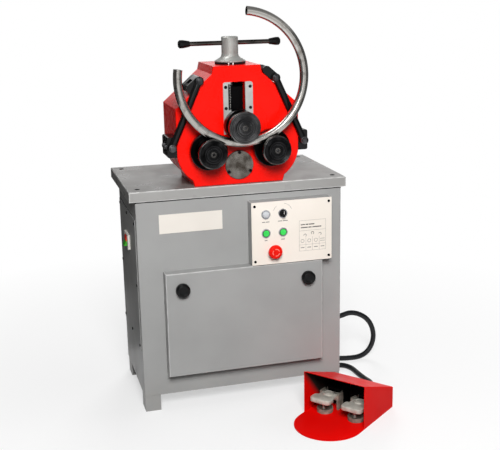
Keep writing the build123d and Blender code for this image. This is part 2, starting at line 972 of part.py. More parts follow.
def make_door():
    """Return the door, its hinge and its two knobs."""
    half = door_width / 2
    sheet = cabinet_sheet
    hinge_y = front - hinge_offset
    hinge_z = door_bottom + hinge_offset
    barrel_start = hinge_y - knuckle_gap * 2
    door = block(-half, half, door_face, front - door_seat_gap, door_bottom, door_top)
    door = fillet(door.edges().group_by(Axis.Y)[0], door_bend_r)
    door -= block(
        -half + sheet, half - sheet, door_face + sheet, front, door_bottom + sheet, door_top - sheet,
    )
    door -= block(-half, half, barrel_start, front, door_bottom, hinge_z)
    knuckle = hinge_length / hinge_knuckles
    reach = hinge_length / 2
    leaf = block(-reach, reach, front - hinge_sheet, front, hinge_z, hinge_z + hinge_leaf)
    leaf += rod_x(hinge_pin_r, -reach, reach, hinge_y, hinge_z)
    for index in range(hinge_knuckles):
        low = -reach + index * knuckle + knuckle_gap
        high = low + knuckle - 2 * knuckle_gap
        barrel = rod_x(hinge_barrel_r, low, high, hinge_y, hinge_z)
        if index % 2 == 0:
            leaf += barrel + block(low, high, hinge_y, front, hinge_z, hinge_z + hinge_barrel_r)
        else:
            web_low = door_bottom + sheet / 2
            web = block(low, high, hinge_y - knuckle_web, barrel_start, web_low, hinge_z - sheet)
            door += barrel + web
            door -= rod_x(hinge_pin_r + running_fit, low, high, hinge_y, hinge_z)
    knobs = {}
    knob_z = door_top - knob_drop
    knob_front = door_face - knob_length
    knob_seat = door_face - knob_seat_gap
    cam_front = front + sheet + cam_gap
    cam_back = cam_front + cam_thickness
    spindle_end = cam_back + cam_gap
    for name, sign in (("left_door_knob", -1), ("right_door_knob", 1)):
        x = sign * (half - knob_inset_x)
        door -= rod_y(knob_spindle_r + part_gap, door_face, door_face + sheet, x, knob_z)
        knob = turned_y(
            [
                (0, knob_front), (knob_r - knob_edge, knob_front), (knob_r, knob_front + knob_edge),
                (knob_r, door_face - knob_taper), (knob_r - knob_taper, knob_seat),
                (knob_spindle_r, knob_seat), (knob_spindle_r, spindle_end), (0, spindle_end),
            ],
            x, knob_z,
        )
        knobs[name] = knob + block(
            x - cam_half_width, x + cam_half_width, cam_front, cam_back,
            knob_z - cam_reach, knob_z + cam_half_width,
        )
    return {"access_door": door, "door_hinge": leaf, **knobs}


def make_bracket():
    """Return the right arm bracket with its pivot bolt and nut."""
    arm_back = head_front - arm_standoff
    bolt_front = arm_back - arm_thickness - bolt_clear
    bracket = block(
        head_half, head_half + bracket_width, head_front, head_front + bracket_depth,
        table_height + bracket_low_rise, table_height + bracket_high_rise,
    )
    bracket = fillet(bracket.edges().filter_by(Axis.Y).group_by(Axis.X)[-1], bracket_corner_r)
    boss_r = arm_half_width - boss_inset
    bracket += rod_y(boss_r, arm_back + boss_gap, head_front, arm_pivot_x, arm_pivot_z)
    bracket += rod_y(arm_bolt_r, bolt_front - bolt_clear, head_front, arm_pivot_x, arm_pivot_z)
    hexagon = Pos(arm_pivot_x, arm_pivot_z) * RegularPolygon(arm_nut_r, 6)
    nut = prism(hexagon, bolt_front - arm_nut_height, bolt_front)
    return bracket + chamfer(nut.edges().group_by(Axis.Y)[0], nut_edge)


def make_head():
    """Return the head housing with its fixed fittings."""
    outline = head_profile(0)
    housing = prism(outline, head_front + head_edge, head_back)
    housing += extrude(Plane.XZ.offset(-head_front - head_edge) * outline, head_edge, taper=45)
    housing -= prism(head_profile(head_wall), chamber_front, rear_cover_front)
    housing -= prism(head_profile(head_rim), rear_cover_front, head_back)
    cover = prism(head_profile(head_rim + press_clear), rear_cover_front, cover_back)
    slot_bottom = upper_roll_z - slide_drop - slot_room
    housing -= block(-rail_inner, rail_inner, head_front, chamber_front, slot_bottom, rail_top)
    housing -= rod_z(screw_neck_r + running_fit, head_top - head_wall, head_top, 0, screw_y)
    bearings = []

    def bearing(outer_r, inner_r, low, high, x, z):
        bearings.append(rod_y(outer_r, low, high, x, z) - rod_y(inner_r + running_fit, low, high, x, z))

    seat_front = chamber_front - front_bearing_width
    rear_seat_back = rear_cover_front + rear_bearing_width
    for x in (-lower_roll_x, lower_roll_x):
        housing -= rod_y(front_bearing_r, seat_front, chamber_front, x, lower_roll_z)
        housing -= rod_y(roll_shaft_r + seat_bore_clear, head_front, seat_front, x, lower_roll_z)
        bearing(front_bearing_r, roll_shaft_r, seat_front, chamber_front, x, lower_roll_z)
    housing -= rod_y(pinion_front_bearing_r, head_front, chamber_front, 0, pinion_z)
    ring_back = chamber_front - pinion_bearing_inset
    ring_front = ring_back - pinion_front_bearing_width
    bearing(pinion_front_bearing_r, pinion_front_journal_r, ring_front, ring_back, 0, pinion_z)
    for x, z in ((-lower_roll_x, lower_roll_z), (lower_roll_x, lower_roll_z), (0, pinion_z)):
        cover -= rod_y(rear_bearing_r, rear_cover_front, rear_seat_back, x, z)
        bearing(rear_bearing_r, rear_journal_r, rear_cover_front, rear_seat_back, x, z)
    cover -= rod_y(rear_journal_r + shaft_clear, rear_cover_front, cover_back, 0, pinion_z)

    disc_front = head_front - drive_cover_thickness
    stem_tip = head_front + socket_stem
    hole_r = socket_stem_r + press_clear
    disc = rod_y(drive_cover_r, disc_front, head_front, 0, pinion_z)
    disc = chamfer(disc.edges().group_by(Axis.Y)[0], drive_cover_edge)
    screws = []

    def screw(x, z, top):
        screws.append(
            socket_screw_y(x, z, top, stem_tip, socket_head_r, socket_head_height, socket_stem_r)
        )

    for angle in (90, 210, 330):
        x = cover_screw_circle * math.cos(math.radians(angle))
        z = pinion_z + cover_screw_circle * math.sin(math.radians(angle))
        disc -= rod_y(hole_r, disc_front, head_front, x, z)
        housing -= rod_y(hole_r, head_front, stem_tip, x, z)
        screw(x, z, disc_front - socket_head_height)

    rail_front = head_front - rail_thickness
    rail = block(rail_inner, rail_outer, rail_front, head_front, table_height + rail_low_rise, rail_top)
    corner = rail.edges().filter_by(Axis.Y).sort_by_distance((rail_outer, rail_front, rail_top))[0]
    rail = fillet(corner, rail_corner_r)
    for index in range(3):
        z = table_height + rail_low_rise + rail_screw_low + index * rail_screw_pitch
        rail -= rod_y(hole_r, rail_front, head_front, rail_screw_x, z)
        sink_r = socket_head_r + press_clear
        rail -= rod_y(sink_r, rail_front, rail_front + socket_head_height, rail_screw_x, z)
        for x in (-rail_screw_x, rail_screw_x):
            housing -= rod_y(hole_r, head_front, stem_tip, x, z)
            screw(x, z, rail_front)
    ruler = block(
        -rail_inner - ruler_width, -rail_inner, rail_front - ruler_thickness, rail_front,
        table_height + ruler_low_rise, table_height + ruler_high_rise,
    )
    dial = rod_z(dial_r, head_top, head_top + dial_height, 0, screw_y)
    dial -= rod_z(screw_neck_r + part_gap, head_top, head_top + dial_height, 0, screw_y)

    bolts = []
    bolt_top = table_height + head_wall - rib_sheet
    for x, y in head_bolt_places():
        housing -= rod_z(head_bolt_r + press_clear, table_height, bolt_top, x, y)
        head = rod_z(head_bolt_head_r, cabinet_top - head_bolt_head_height, cabinet_top, x, y)
        bolts.append(head + rod_z(head_bolt_r, cabinet_top, bolt_top - bolt_clear, x, y))
    bracket = make_bracket()
    return {
        "head_housing": housing,
        "head_rear_cover": cover,
        "shaft_bearings": group(*bearings),
        "gear_cover": disc,
        "socket_screws": group(*screws, *bolts),
        "guide_rails": group(rail, mirrored(rail)),
        "position_scales": group(ruler, dial),
        "arm_brackets": group(bracket, mirrored(bracket)),
    }


def roll(front_r, rear_r, x, z):
    """Return one grooved roll with a counterbore for its end washer."""
    bore = roll_shaft_r + press_clear
    edge = roll_chamfer
    step = head_front - rear_flange_distance
    waist = min(front_r, rear_r)
    sink_r = end_washer_r + running_fit * 2
    points = [
        (bore, roll_back), (rear_r - edge, roll_back), (rear_r, roll_back - edge), (rear_r, step + edge),
        (rear_r - edge, step), (waist, step), (front_r, step - edge), (front_r, roll_front + edge),
        (front_r - edge, roll_front), (sink_r, roll_front), (sink_r, washer_seat), (bore, washer_seat),
    ]
    centre_r = groove_root_r + groove_r
    face = polygon(points) - Pos(centre_r, groove_y) * Circle(groove_r)
    face -= Pos(centre_r + rear_r / 2, groove_y) * Rectangle(rear_r, 2 * groove_r)
    return Pos(x, 0, z) * revolve(face, Axis.Y)


def end_washer(x, z):
    """Return the washer and the socket screw that hold one roll."""
    top = washer_seat - end_washer_thickness
    washer = rod_y(end_washer_r, top, washer_seat, x, z)
    washer = chamfer(washer.edges().group_by(Axis.Y)[0], end_washer_edge)
    head_seat = top - end_screw_room + end_screw_head
    washer -= rod_y(end_screw_r + end_washer_proud, top, head_seat, x, z)
    washer -= rod_y(end_screw_stem_r + press_clear, top, washer_seat, x, z)
    tip = washer_seat + end_screw_stem
    screw = socket_screw_y(x, z, top - end_screw_room, tip, end_screw_r, end_screw_head, end_screw_stem_r)
    return group(washer, screw)


def roll_shaft(x, z, rear_end, rear_r, step_y):
    """Return a roll shaft with its end washer and screw as separate solids."""
    shaft = rod_y(roll_shaft_r, washer_seat, step_y, x, z)
    if rear_end > step_y:
        shaft += rod_y(rear_r, step_y, rear_end, x, z)
    hole_end = washer_seat + end_screw_stem + end_screw_room
    shaft -= rod_y(end_screw_stem_r + press_clear, washer_seat, hole_end, x, z)
    return group(shaft, end_washer(x, z))


def make_rolls():
    """Return the three rolls with their shafts, the roll gears and the pinion."""
    nodes = {}
    rise = math.degrees(math.atan2(lower_roll_z - pinion_z, lower_roll_x))
    bearing_end = rear_cover_front + rear_bearing_width - journal_gap
    gear_end = gear_back + gear_overlap
    for name, sign in (("left", -1), ("right", 1)):
        x = sign * lower_roll_x
        direction = rise if sign > 0 else 180.0 - rise
        face = gear_face(roll_gear_teeth, gear_phase(direction, rise))
        face -= Circle(roll_shaft_r + press_clear)
        nodes[name + "_gear"] = prism(Pos(x, lower_roll_z) * face, gear_front, gear_back)
        nodes[name + "_shaft"] = roll_shaft(x, lower_roll_z, bearing_end, rear_journal_r, gear_end)
        nodes[name + "_roll"] = roll(lower_front_flange_r, lower_rear_flange_r, x, lower_roll_z)
    nodes["upper_roll"] = roll(upper_flange_r, upper_flange_r, 0, upper_roll_z)
    shaft_end = slide_back - shaft_end_inset
    nodes["upper_shaft"] = roll_shaft(0, upper_roll_z, shaft_end, roll_shaft_r, shaft_end)

    journal_front = chamber_front - pinion_bearing_inset - pinion_front_bearing_width - gear_overlap
    wheel_end = gearbox_back - gearbox_wall - worm_cap
    shaft = rod_y(pinion_front_journal_r, journal_front, gear_front, 0, pinion_z)
    pinion = Pos(0, pinion_z) * gear_face(pinion_teeth, rise)
    shaft += prism(pinion, gear_front - gear_overlap, gear_end)
    shaft += rod_y(rear_journal_r, gear_end, wheel_end, 0, pinion_z)
    wheel = Circle(worm_wheel_r)
    for tooth in range(worm_wheel_teeth * 2):
        angle = 180.0 * tooth / worm_wheel_teeth
        slot = Pos(worm_wheel_r, 0) * Rectangle(2 * wheel_slot_depth, wheel_slot_width)
        wheel -= Rot(0, 0, angle) * slot
    wheel -= Circle(rear_journal_r + press_clear)
    wheel = prism(Pos(0, pinion_z) * wheel, gearbox_middle - worm_r, gearbox_middle + worm_r)
    nodes["pinion_shaft"] = group(shaft, wheel)
    return nodes


def make_drive():
    """Return the worm, the gearbox, the motor and the tube in the rolls."""
    flange_low = gearbox_bottom - motor_flange_thickness
    worm_low = pinion_z - worm_pitch * worm_turns / 2
    ridges = thread_points(worm_r, worm_thread, worm_pitch, worm_low, worm_turns)
    worm = turned_z([(0, worm_low), *ridges, (0, ridges[-1][1])], worm_x, gearbox_middle)
    shaft_low = flange_low - motor_bore_depth + worm_cap
    worm += rod_z(worm_shaft_r, shaft_low, gearbox_top - worm_cap, worm_x, gearbox_middle)

    wall = gearbox_wall
    gearbox = block(
        gearbox_left, gearbox_right, gearbox_front, gearbox_back, gearbox_bottom, gearbox_top,
    )
    gearbox = fillet(gearbox.edges().filter_by(Axis.Y), gearbox_corner_r)
    gearbox -= block(
        gearbox_left + wall, gearbox_right - wall, gearbox_front + wall, gearbox_back - wall,
        gearbox_bottom + wall, gearbox_top - wall,
    )
    gearbox += rod_y(rear_bearing_r + gearbox_boss_rim, cover_back, gearbox_front, 0, pinion_z)
    gearbox -= rod_y(rear_journal_r + shaft_clear, cover_back, gearbox_front + wall, 0, pinion_z)
    bore_r = worm_shaft_r + running_fit
    gearbox -= rod_z(bore_r, gearbox_bottom, gearbox_bottom + wall, worm_x, gearbox_middle)
    gearbox -= rod_z(bore_r, gearbox_top - wall, gearbox_top - worm_cap / 2, worm_x, gearbox_middle)

    motor_low = flange_low - motor_length
    frame = rod_z(motor_flange_r, flange_low, gearbox_bottom, worm_x, gearbox_middle)
    frame += rod_z(motor_r - fin_depth, motor_low + motor_cowl, flange_low, worm_x, gearbox_middle)
    fin = block(
        motor_r - fin_depth - fin_root, motor_r, -fin_thickness / 2, fin_thickness / 2,
        motor_low + motor_cowl + fin_gap, flange_low - fin_clear,
    )
    for index in range(fin_count):
        frame += Pos(worm_x, gearbox_middle, 0) * Rot(0, 0, index * 360 / fin_count) * fin
    frame -= rod_z(
        worm_shaft_r + shaft_clear, flange_low - motor_bore_depth, gearbox_bottom, worm_x, gearbox_middle,
    )
    frame += block(
        worm_x - motor_r - terminal_reach, worm_x - motor_r + terminal_seat,
        gearbox_middle - terminal_width / 2, gearbox_middle + terminal_width / 2,
        flange_low - terminal_drop - terminal_height, flange_low - terminal_drop,
    )
    cowl = rod_z(motor_r - 1, motor_low, motor_low + motor_cowl, worm_x, gearbox_middle)
    cowl = fillet(cowl.edges().group_by(Axis.Z)[0], motor_cowl_r)
    return {
        "worm_shaft": worm,
        "gearbox_housing": gearbox,
        "motor": group(frame, cowl),
        "bent_pipe": make_pipe(),
    }


def make_pipe():
    """Return the tube that is bent between the rolls."""
    centre = Plane(origin=(0, groove_y, pipe_centre_z), x_dir=(1, 0, 0), z_dir=(0, -1, 0))
    path = centre * CenterArc((0, 0), bend_radius, pipe_start_angle, pipe_sweep_angle)
    section = Plane(origin=path @ 0, z_dir=path % 0)
    ring = Circle(pipe_diameter / 2) - Circle(pipe_diameter / 2 - pipe_wall)
    return sweep(section * ring, path=path)


def make_handle():
    """Return the hub, the tommy bar and the caps of the T-handle."""
    hub_bottom = head_top + dial_height + slide_gap
    stud_top = hub_bottom + bar_height - bar_r - stud_cover
    hub_top = head_top + hub_height
    flare = hub_bottom + hub_flare_height
    neck = screw_neck_r + press_clear
    stud = screw_neck_r - stud_step + press_clear
    roof = stud_top + slide_gap
    hub = turned_z(
        [
            (neck, hub_bottom), (dial_r, hub_bottom), (dial_r, hub_bottom + hub_rim),
            (hub_r + hub_cone, flare - hub_cone * 0.7), (hub_r + hub_edge, flare),
            (hub_r, flare + hub_cone), (hub_r, hub_top - hub_edge), (hub_r - hub_edge, hub_top),
            (0, hub_top), (0, roof), (stud, roof), (stud, hub_bottom + hub_socket),
            (neck, hub_bottom + hub_socket),
        ],
        0, screw_y,
    )
    bar_z = head_top + bar_height
    hub -= rod_x(bar_r + press_clear, -hub_r, hub_r, screw_y, bar_z)
    bar_end = bar_half_length - cap_edge
    bar = rod_x(bar_r, -bar_end, bar_end, screw_y, bar_z)
    inner = bar_half_length - cap_length
    sleeve = bar_r + press_clear
    cap_points = [
        (0, bar_half_length), (cap_r - cap_edge, bar_half_length), (cap_r, bar_end),
        (cap_r, bar_half_length - cap_belly), (cap_r - cap_taper, inner), (sleeve, inner),
        (sleeve, bar_end + press_clear), (0, bar_end + press_clear),
    ]
    cap = Pos(0, screw_y, bar_z) * Rot(0, 90, 0) * turned_z(cap_points, 0, 0)
    return {"handle_hub": hub, "tommy_bar": bar, "bar_end_caps": group(cap, mirrored(cap))}


def make_press():
    """Return the slide and the press screw with its handle."""
    slide_bottom = upper_roll_z - slide_drop
    shaft_top = upper_roll_z + roll_shaft_r + running_fit
    bore_bottom = shaft_top + thrust_wall
    screw_end = bore_bottom + slide_travel + screw_end_room
    slide_top = screw_end + nut_length
    slide_front = chamber_front + slide_gap
    slide = block(-slide_half_width, slide_half_width, slide_front, slide_back, slide_bottom, slide_top)
    neck_half = rail_inner - slide_gap
    slide += block(
        -neck_half, neck_half, head_front, slide_front, slide_bottom, upper_roll_z + slide_drop,
    )
    slide -= rod_y(roll_shaft_r + running_fit, head_front, slide_back, 0, upper_roll_z)
    slide -= rod_z(screw_r + running_fit, bore_bottom, slide_top, 0, screw_y)

    collar_top = head_top - head_wall - slide_gap
    collar_bottom = collar_top - screw_collar_height
    hub_bottom = head_top + dial_height + slide_gap
    stud_top = hub_bottom + bar_height - bar_r - stud_cover
    stud_r = screw_neck_r - stud_step
    turns = int((collar_bottom - screw_end) / screw_pitch)
    core_r = screw_r - screw_thread
    screw = turned_z(
        [
            (0, screw_end), *thread_points(screw_r, screw_thread, screw_pitch, screw_end, turns),
            (core_r, collar_bottom), (screw_collar_r, collar_bottom), (screw_collar_r, collar_top),
            (screw_neck_r, collar_top), (screw_neck_r, hub_bottom + hub_socket),
            (stud_r, hub_bottom + hub_socket), (stud_r, stud_top), (0, stud_top),
        ],
        0, screw_y,
    )
    return {"slide_block": slide, "press_screw": screw, **make_handle()}


def bar_outline(x, z, angle, length):
    """Return a round-ended bar outline from one pivot along an angle."""
    middle = Pos(x, z) * Rot(0, 0, angle) * Pos(length / 2, 0)
    return middle * SlotCenterToCenter(length, 2 * arm_half_width)


def make_fork(angle, fork_front, bolt_end):
    """Return a right-hand roller fork that points along an angle, and its roller."""
    fork_back = fork_front + fork_depth
    fork = prism(
        bar_outline(fork_pivot_x, fork_pivot_z, angle, fork_length - arm_half_width), fork_front, fork_back,
    )
    roller_front = (fork_front + fork_back - guide_roller_length) / 2
    roller_back = roller_front + guide_roller_length
    slot_middle = Pos(fork_slot_start + fork_length / 2, 0)
    slot = Pos(fork_pivot_x, fork_pivot_z) * Rot(0, 0, angle) * slot_middle
    slot *= Rectangle(fork_length, 3 * arm_half_width)
    fork -= prism(slot, roller_front - part_gap, roller_back + part_gap)
    roller_x = fork_pivot_x + math.cos(math.radians(angle)) * guide_roller_reach
    roller_z = fork_pivot_z + math.sin(math.radians(angle)) * guide_roller_reach
    fork += rod_y(guide_pin_r, fork_front, fork_back, roller_x, roller_z)
    bore_end = bolt_end + fork_bolt_room
    fork -= rod_y(fork_bolt_r + running_fit, fork_front, bore_end, fork_pivot_x, fork_pivot_z)
    roller = rod_y(guide_roller_r, roller_front, roller_back, roller_x, roller_z)
    roller = chamfer(roller.edges(), guide_roller_edge)
    roller -= rod_y(guide_pin_r + running_fit, roller_front, roller_back, roller_x, roller_z)
    return fork, roller


def make_arms():
    """Return the guide arms, forks and rollers: the right fork points up the bevel, the left one down."""
    arm_back = head_front - arm_standoff
    arm_front = arm_back - arm_thickness
    lean_x = fork_pivot_x - arm_pivot_x
    lean_z = fork_pivot_z - arm_pivot_z
    lean = math.degrees(math.atan2(lean_z, lean_x))
    arm = prism(bar_outline(arm_pivot_x, arm_pivot_z, lean, math.hypot(lean_x, lean_z)), arm_front, arm_back)
    arm = chamfer(arm.edges().group_by(Axis.Y)[0], arm_edge)
    arm -= rod_y(arm_bolt_r + running_fit, arm_front, arm_back, arm_pivot_x, arm_pivot_z)
    arm -= rod_y(fork_bolt_r + press_clear, arm_front, arm_back, fork_pivot_x, fork_pivot_z)
    fork_front = arm_back + fork_gap
    hexagon = Pos(fork_pivot_x, fork_pivot_z) * RegularPolygon(fork_bolt_head_r, 6)
    bolt = prism(hexagon, arm_front - fork_bolt_head, arm_front)
    bolt = chamfer(bolt.edges().group_by(Axis.Y)[0], nut_edge)
    bolt_end = fork_front + fork_bolt_reach
    bolt += rod_y(fork_bolt_r, arm_front, bolt_end, fork_pivot_x, fork_pivot_z)

    bevel = math.degrees(math.atan2(bevel_drop - shoulder_drop, shoulder_half - head_half))
    upward_fork, upward_roller = make_fork(bevel, fork_front, bolt_end)
    downward_fork, downward_roller = make_fork(bevel - 180, fork_front, bolt_end)
    return {
        "left_guide_arm": group(mirrored(arm), mirrored(bolt)),
        "left_roller_fork": mirrored(downward_fork),
        "left_guide_roller": mirrored(downward_roller),
        "right_guide_arm": group(arm, bolt),
        "right_roller_fork": upward_fork,
        "right_guide_roller": upward_roller,
    }


def make_guard():
    """Return the hood of the foot switch with its base, mouth at the origin."""
    half = guard_width / 2
    sheet = guard_sheet
    base = foot_base_thickness
    slope = (guard_front_height - guard_back_height) / guard_depth
    top_drop = sheet * math.hypot(1, slope)
    corners = [(0, 0), (guard_depth, 0), (guard_depth, guard_back_height), (0, guard_front_height)]
    guard = extrude(Plane.YZ.offset(-half) * polygon(corners), guard_width)
    roof = guard.faces().sort_by(Axis.Z)[-1]
    bends = [edge for edge in roof.edges() if edge.center().Y > sheet]
    guard = fillet(bends, guard_bend_r)
    inner_back = guard_depth - sheet
    inner = polygon(
        [
            (-sheet, base), (inner_back, base),
            (inner_back, guard_back_height + slope * sheet - top_drop),
            (-sheet, guard_front_height + slope * sheet - top_drop),
        ]
    )
    guard -= extrude(Plane.YZ.offset(-half + sheet) * inner, guard_width - 2 * sheet)
    nose = rod_z(half, 0, base, 0, -foot_base_step)
    nose -= block(-half, half, -foot_base_step, half, 0, base)
    guard += nose + block(-half, half, -foot_base_step, 0, 0, base)
    return guard - rod_y(gland_r * gland_seat_share, inner_back, guard_depth, 0, foot_gland_z)


def make_pedal(middle):
    """Return one pedal: a rounded tread, a neck, the barrel and the plunger."""
    half = pedal_width / 2
    neck_half = half - pedal_neck_inset
    lip_low = pedal_top - pedal_lip
    neck_top = pedal_top - pedal_neck_drop
    tread = block(middle - half, middle + half, pedal_front, pedal_tread, lip_low, pedal_top)
    tread = fillet(tread.edges(), pedal_edge_r)
    neck = block(
        middle - neck_half, middle + neck_half, pedal_tread - pedal_edge_r * 2, pedal_axis_y,
        neck_top - pedal_neck_thickness, neck_top,
    )
    barrel = rod_x(pedal_barrel_r, middle - neck_half, middle + neck_half, pedal_axis_y, pedal_axis_z)
    web = block(
        middle - neck_half, middle + neck_half, pedal_axis_y - pedal_barrel_r, pedal_axis_y,
        pedal_axis_z, neck_top,
    )
    plunger = rod_z(plunger_r, plunger_bottom, lip_low + pedal_edge_r, middle, cup_y - pedal_edge_r * 2)
    pedal = tread + neck + web + barrel + plunger
    bore_r = pedal_pin_r + running_fit
    return pedal - rod_x(bore_r, middle - half, middle + half, pedal_axis_y, pedal_axis_z)


def make_pedal_stand(middle):
    """Return the cheeks with the hinge pin, the cup and the contact box of one pedal."""
    base = foot_base_thickness
    reach = pedal_width / 2 - pedal_neck_inset + part_gap
    stand = rod_x(pedal_pin_r, middle - reach, middle + reach, pedal_axis_y, pedal_axis_z)
    for sign in (-1, 1):
        low, high = sorted((middle + sign * reach, middle + sign * (reach + cheek_thickness)))
        cheek = block(
            low, high, pedal_axis_y - cheek_front, pedal_axis_y + cheek_back,
            base, pedal_axis_z + cheek_rise,
        )
        stand += fillet(cheek.edges().filter_by(Axis.X).group_by(Axis.Z)[-1], pedal_edge_r)
    cup = rod_z(cup_r, base, base + cup_height, middle, cup_y)
    cup -= rod_z(cup_r - cup_wall, base + cup_wall, base + cup_height, middle, cup_y)
    box_front = pedal_axis_y + cheek_back + contact_box_gap
    box = block(
        middle - reach, middle + reach, box_front, box_front + contact_box_depth, base, contact_box_height,
    )
    box = fillet(box.edges().group_by(Axis.Z)[-1], pedal_edge_r)
    return [stand, cup, box]


def turned_gland(length):
    """Return a cable gland along Z, its shoulder at zero."""
    seat_r = gland_r * gland_seat_share - press_clear
    body_r = gland_r - gland_step
    points = [
        (0, -gland_tail), (seat_r, -gland_tail), (seat_r, 0), (gland_r, 0), (gland_r, gland_nut),
        (body_r, gland_nut + gland_step), (body_r, length - gland_nut), (gland_r - gland_nose, length),
        (0, length),
    ]
    return turned_z(points, 0, 0)


def make_foot_switch():
    """Return the foot switch, the glands and the cable."""
    place = Pos(foot_x, foot_y, 0) * Rot(0, 0, foot_turn)
    pedal_middle = (pedal_gap + pedal_width) / 2
    supports = make_pedal_stand(-pedal_middle) + make_pedal_stand(pedal_middle)
    side_gland = turned_gland(gland_length)
    mains_gland = side_gland - rod_z(mains_bore_r, -gland_tail, gland_length, 0, 0)
    foot_gland = turned_gland(foot_gland_length)
    glands = [
        Pos(side, side_gland_y, side_gland_z) * Rot(0, 90, 0) * side_gland,
        Pos(mains_gland_x, back, mains_gland_z) * Rot(-90, 0, 0) * mains_gland,
        place * Pos(0, guard_depth, foot_gland_z) * Rot(-90, 0, 0) * foot_gland,
    ]
    return {
        "foot_switch_guard": place * make_guard(),
        "left_pedal": place * make_pedal(-pedal_middle),
        "right_pedal": place * make_pedal(pedal_middle),
        "pedal_supports": group(*[place * piece for piece in supports]),
        "cable_glands": group(*glands),
        "pedal_cable": make_cable(),
    }


def make_cable():
    """Return the cable from the cabinet to the foot switch."""
    turn = math.radians(foot_turn)
    leave = Vector(-math.sin(turn), math.cos(turn), 0)
    mouth = Vector(foot_x, foot_y, foot_gland_z)
    end = mouth + leave * (guard_depth + foot_gland_length)
    bend = end + leave * cable_foot_lead
    floor = cable_diameter / 2
    gland = Vector(side, side_gland_y, side_gland_z)
    points = [gland + Vector(gland_length, 0, 0)]
    points += [gland + Vector(*step) for step in cable_loop]
    points += [Vector(gland.X + x, gland.Y + y, floor) for x, y in cable_fold]
    points += [Vector(bend.X + cable_approach[0], bend.Y + cable_approach[1], floor), bend, end]
    radii = []
    for before, corner, after in zip(points, points[1:], points[2:]):
        first = corner - before
        second = after - corner
        angle = math.radians(first.get_angle(second))
        radii.append(cable_arc_share * min(first.length, second.length) / math.tan(angle / 2))
    print("cable radii", [round(radius, 1) for radius in radii])
    print("cable runs", [round((b - a).length, 1) for a, b in zip(points, points[1:])])
    path = FilletPolyline(*points, radius=radii)
    section = Plane(origin=points[0], z_dir=points[1] - points[0]) * Circle(cable_diameter / 2)
    cable = sweep(section, path=path)
    section_area = math.pi * cable_diameter**2 / 4
    print("cable length", round(path.length, 1))
    print("cable volume ratio", round(cable.volume / (section_area * path.length), 4))
    return cable


def main():
    """Build every node and write one file for each."""
    os.makedirs("parts", exist_ok=True)
    makers = (
        make_cabinet, make_side, make_control, make_door, make_head,
        make_rolls, make_drive, make_press, make_arms, make_foot_switch,
    )
    nodes = {}
    for maker in makers:
        nodes.update(maker())
    for name, shape in nodes.items():
        export_step(shape, f"parts/{name}.step")
    print(len(nodes), "nodes")


main()
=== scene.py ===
"""The look of the pipe bending machine: a finish for every part, and the pieces that show on it.

All places are in metres: X to the right of the machine, Y to its back, Z up from the floor.
"""
from __future__ import annotations

import json
import logging
import math
from dataclasses import dataclass, replace
from enum import Enum
from typing import Iterable, Sequence, Union

import bmesh
import bpy
from mathutils import Matrix, Vector


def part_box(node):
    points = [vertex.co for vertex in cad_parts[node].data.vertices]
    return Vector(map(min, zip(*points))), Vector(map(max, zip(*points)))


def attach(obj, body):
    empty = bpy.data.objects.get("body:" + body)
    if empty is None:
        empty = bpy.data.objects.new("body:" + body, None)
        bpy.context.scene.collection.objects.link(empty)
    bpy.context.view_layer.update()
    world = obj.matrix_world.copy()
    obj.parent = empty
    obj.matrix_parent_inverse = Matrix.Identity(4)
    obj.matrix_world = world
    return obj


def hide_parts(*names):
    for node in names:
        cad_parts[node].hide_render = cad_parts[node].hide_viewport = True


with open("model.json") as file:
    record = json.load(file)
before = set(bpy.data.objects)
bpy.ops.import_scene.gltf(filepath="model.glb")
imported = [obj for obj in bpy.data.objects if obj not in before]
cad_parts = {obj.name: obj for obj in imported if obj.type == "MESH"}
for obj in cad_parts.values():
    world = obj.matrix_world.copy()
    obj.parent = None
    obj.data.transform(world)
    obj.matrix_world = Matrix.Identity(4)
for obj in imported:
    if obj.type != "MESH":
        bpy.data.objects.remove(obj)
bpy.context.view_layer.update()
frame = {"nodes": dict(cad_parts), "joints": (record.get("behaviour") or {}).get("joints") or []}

LOG = logging.getLogger("pipe_bender")
SHARP_ANGLE = math.radians(35)
QUARTER_TURN = math.radians(90)
ARC_STEP = math.radians(8)
# The middle point of a rounded corner, as a share of its width.
CORNER_EASE = 0.3
# The washer under a hexagon head, as shares of the head's height and radius.
WASHER_SHARE = 0.2
WASHER_REACH = 1.18
# A distance that counts as none.
SMALL = 1e-6
UNIT_X = Vector((1.0, 0.0, 0.0))
UNIT_Y = Vector((0.0, 1.0, 0.0))
UNIT_Z = Vector((0.0, 0.0, 1.0))
FRONT = -UNIT_Y
WHITE = (1.0, 1.0, 1.0, 1.0)
# The two ways through a range, and the range that soft noise keeps to with the middle of it.
RISE = (0.0, 1.0)
FALL = (1.0, 0.0)
NOISE = (0.3, 0.7)
MID_NOISE = (0.35, 0.65)

Tone = tuple[int, int, int]
Point = tuple[float, float, float]
Span = tuple[float, float]
Profile = Sequence[Span]
Mesh = bmesh.types.BMesh
Socket = bpy.types.NodeSocket
Feed = Union[Socket, float, Sequence[float]]


def linear(tone: Tone) -> tuple[float, float, float, float]:
    """Turn a screen colour into the values that a shader takes.

    Args:
        tone: red, green and blue as a screen shows them, 0 to 255.

    Returns:
        The same colour in linear light, with full alpha.
    """
    parts = [value / 255 for value in tone]
    light = [p / 12.92 if p <= 0.04045 else ((p + 0.055) / 1.055) ** 2.4 for p in parts]
    return (*light, 1.0)


class Side(Enum):
    """A side of the machine, seen from the front."""

    LEFT = "left"
    RIGHT = "right"

    def part(self, name: str) -> str:
        """Return the name of this side's part of a pair."""
        return f"{self.value}_{name}"


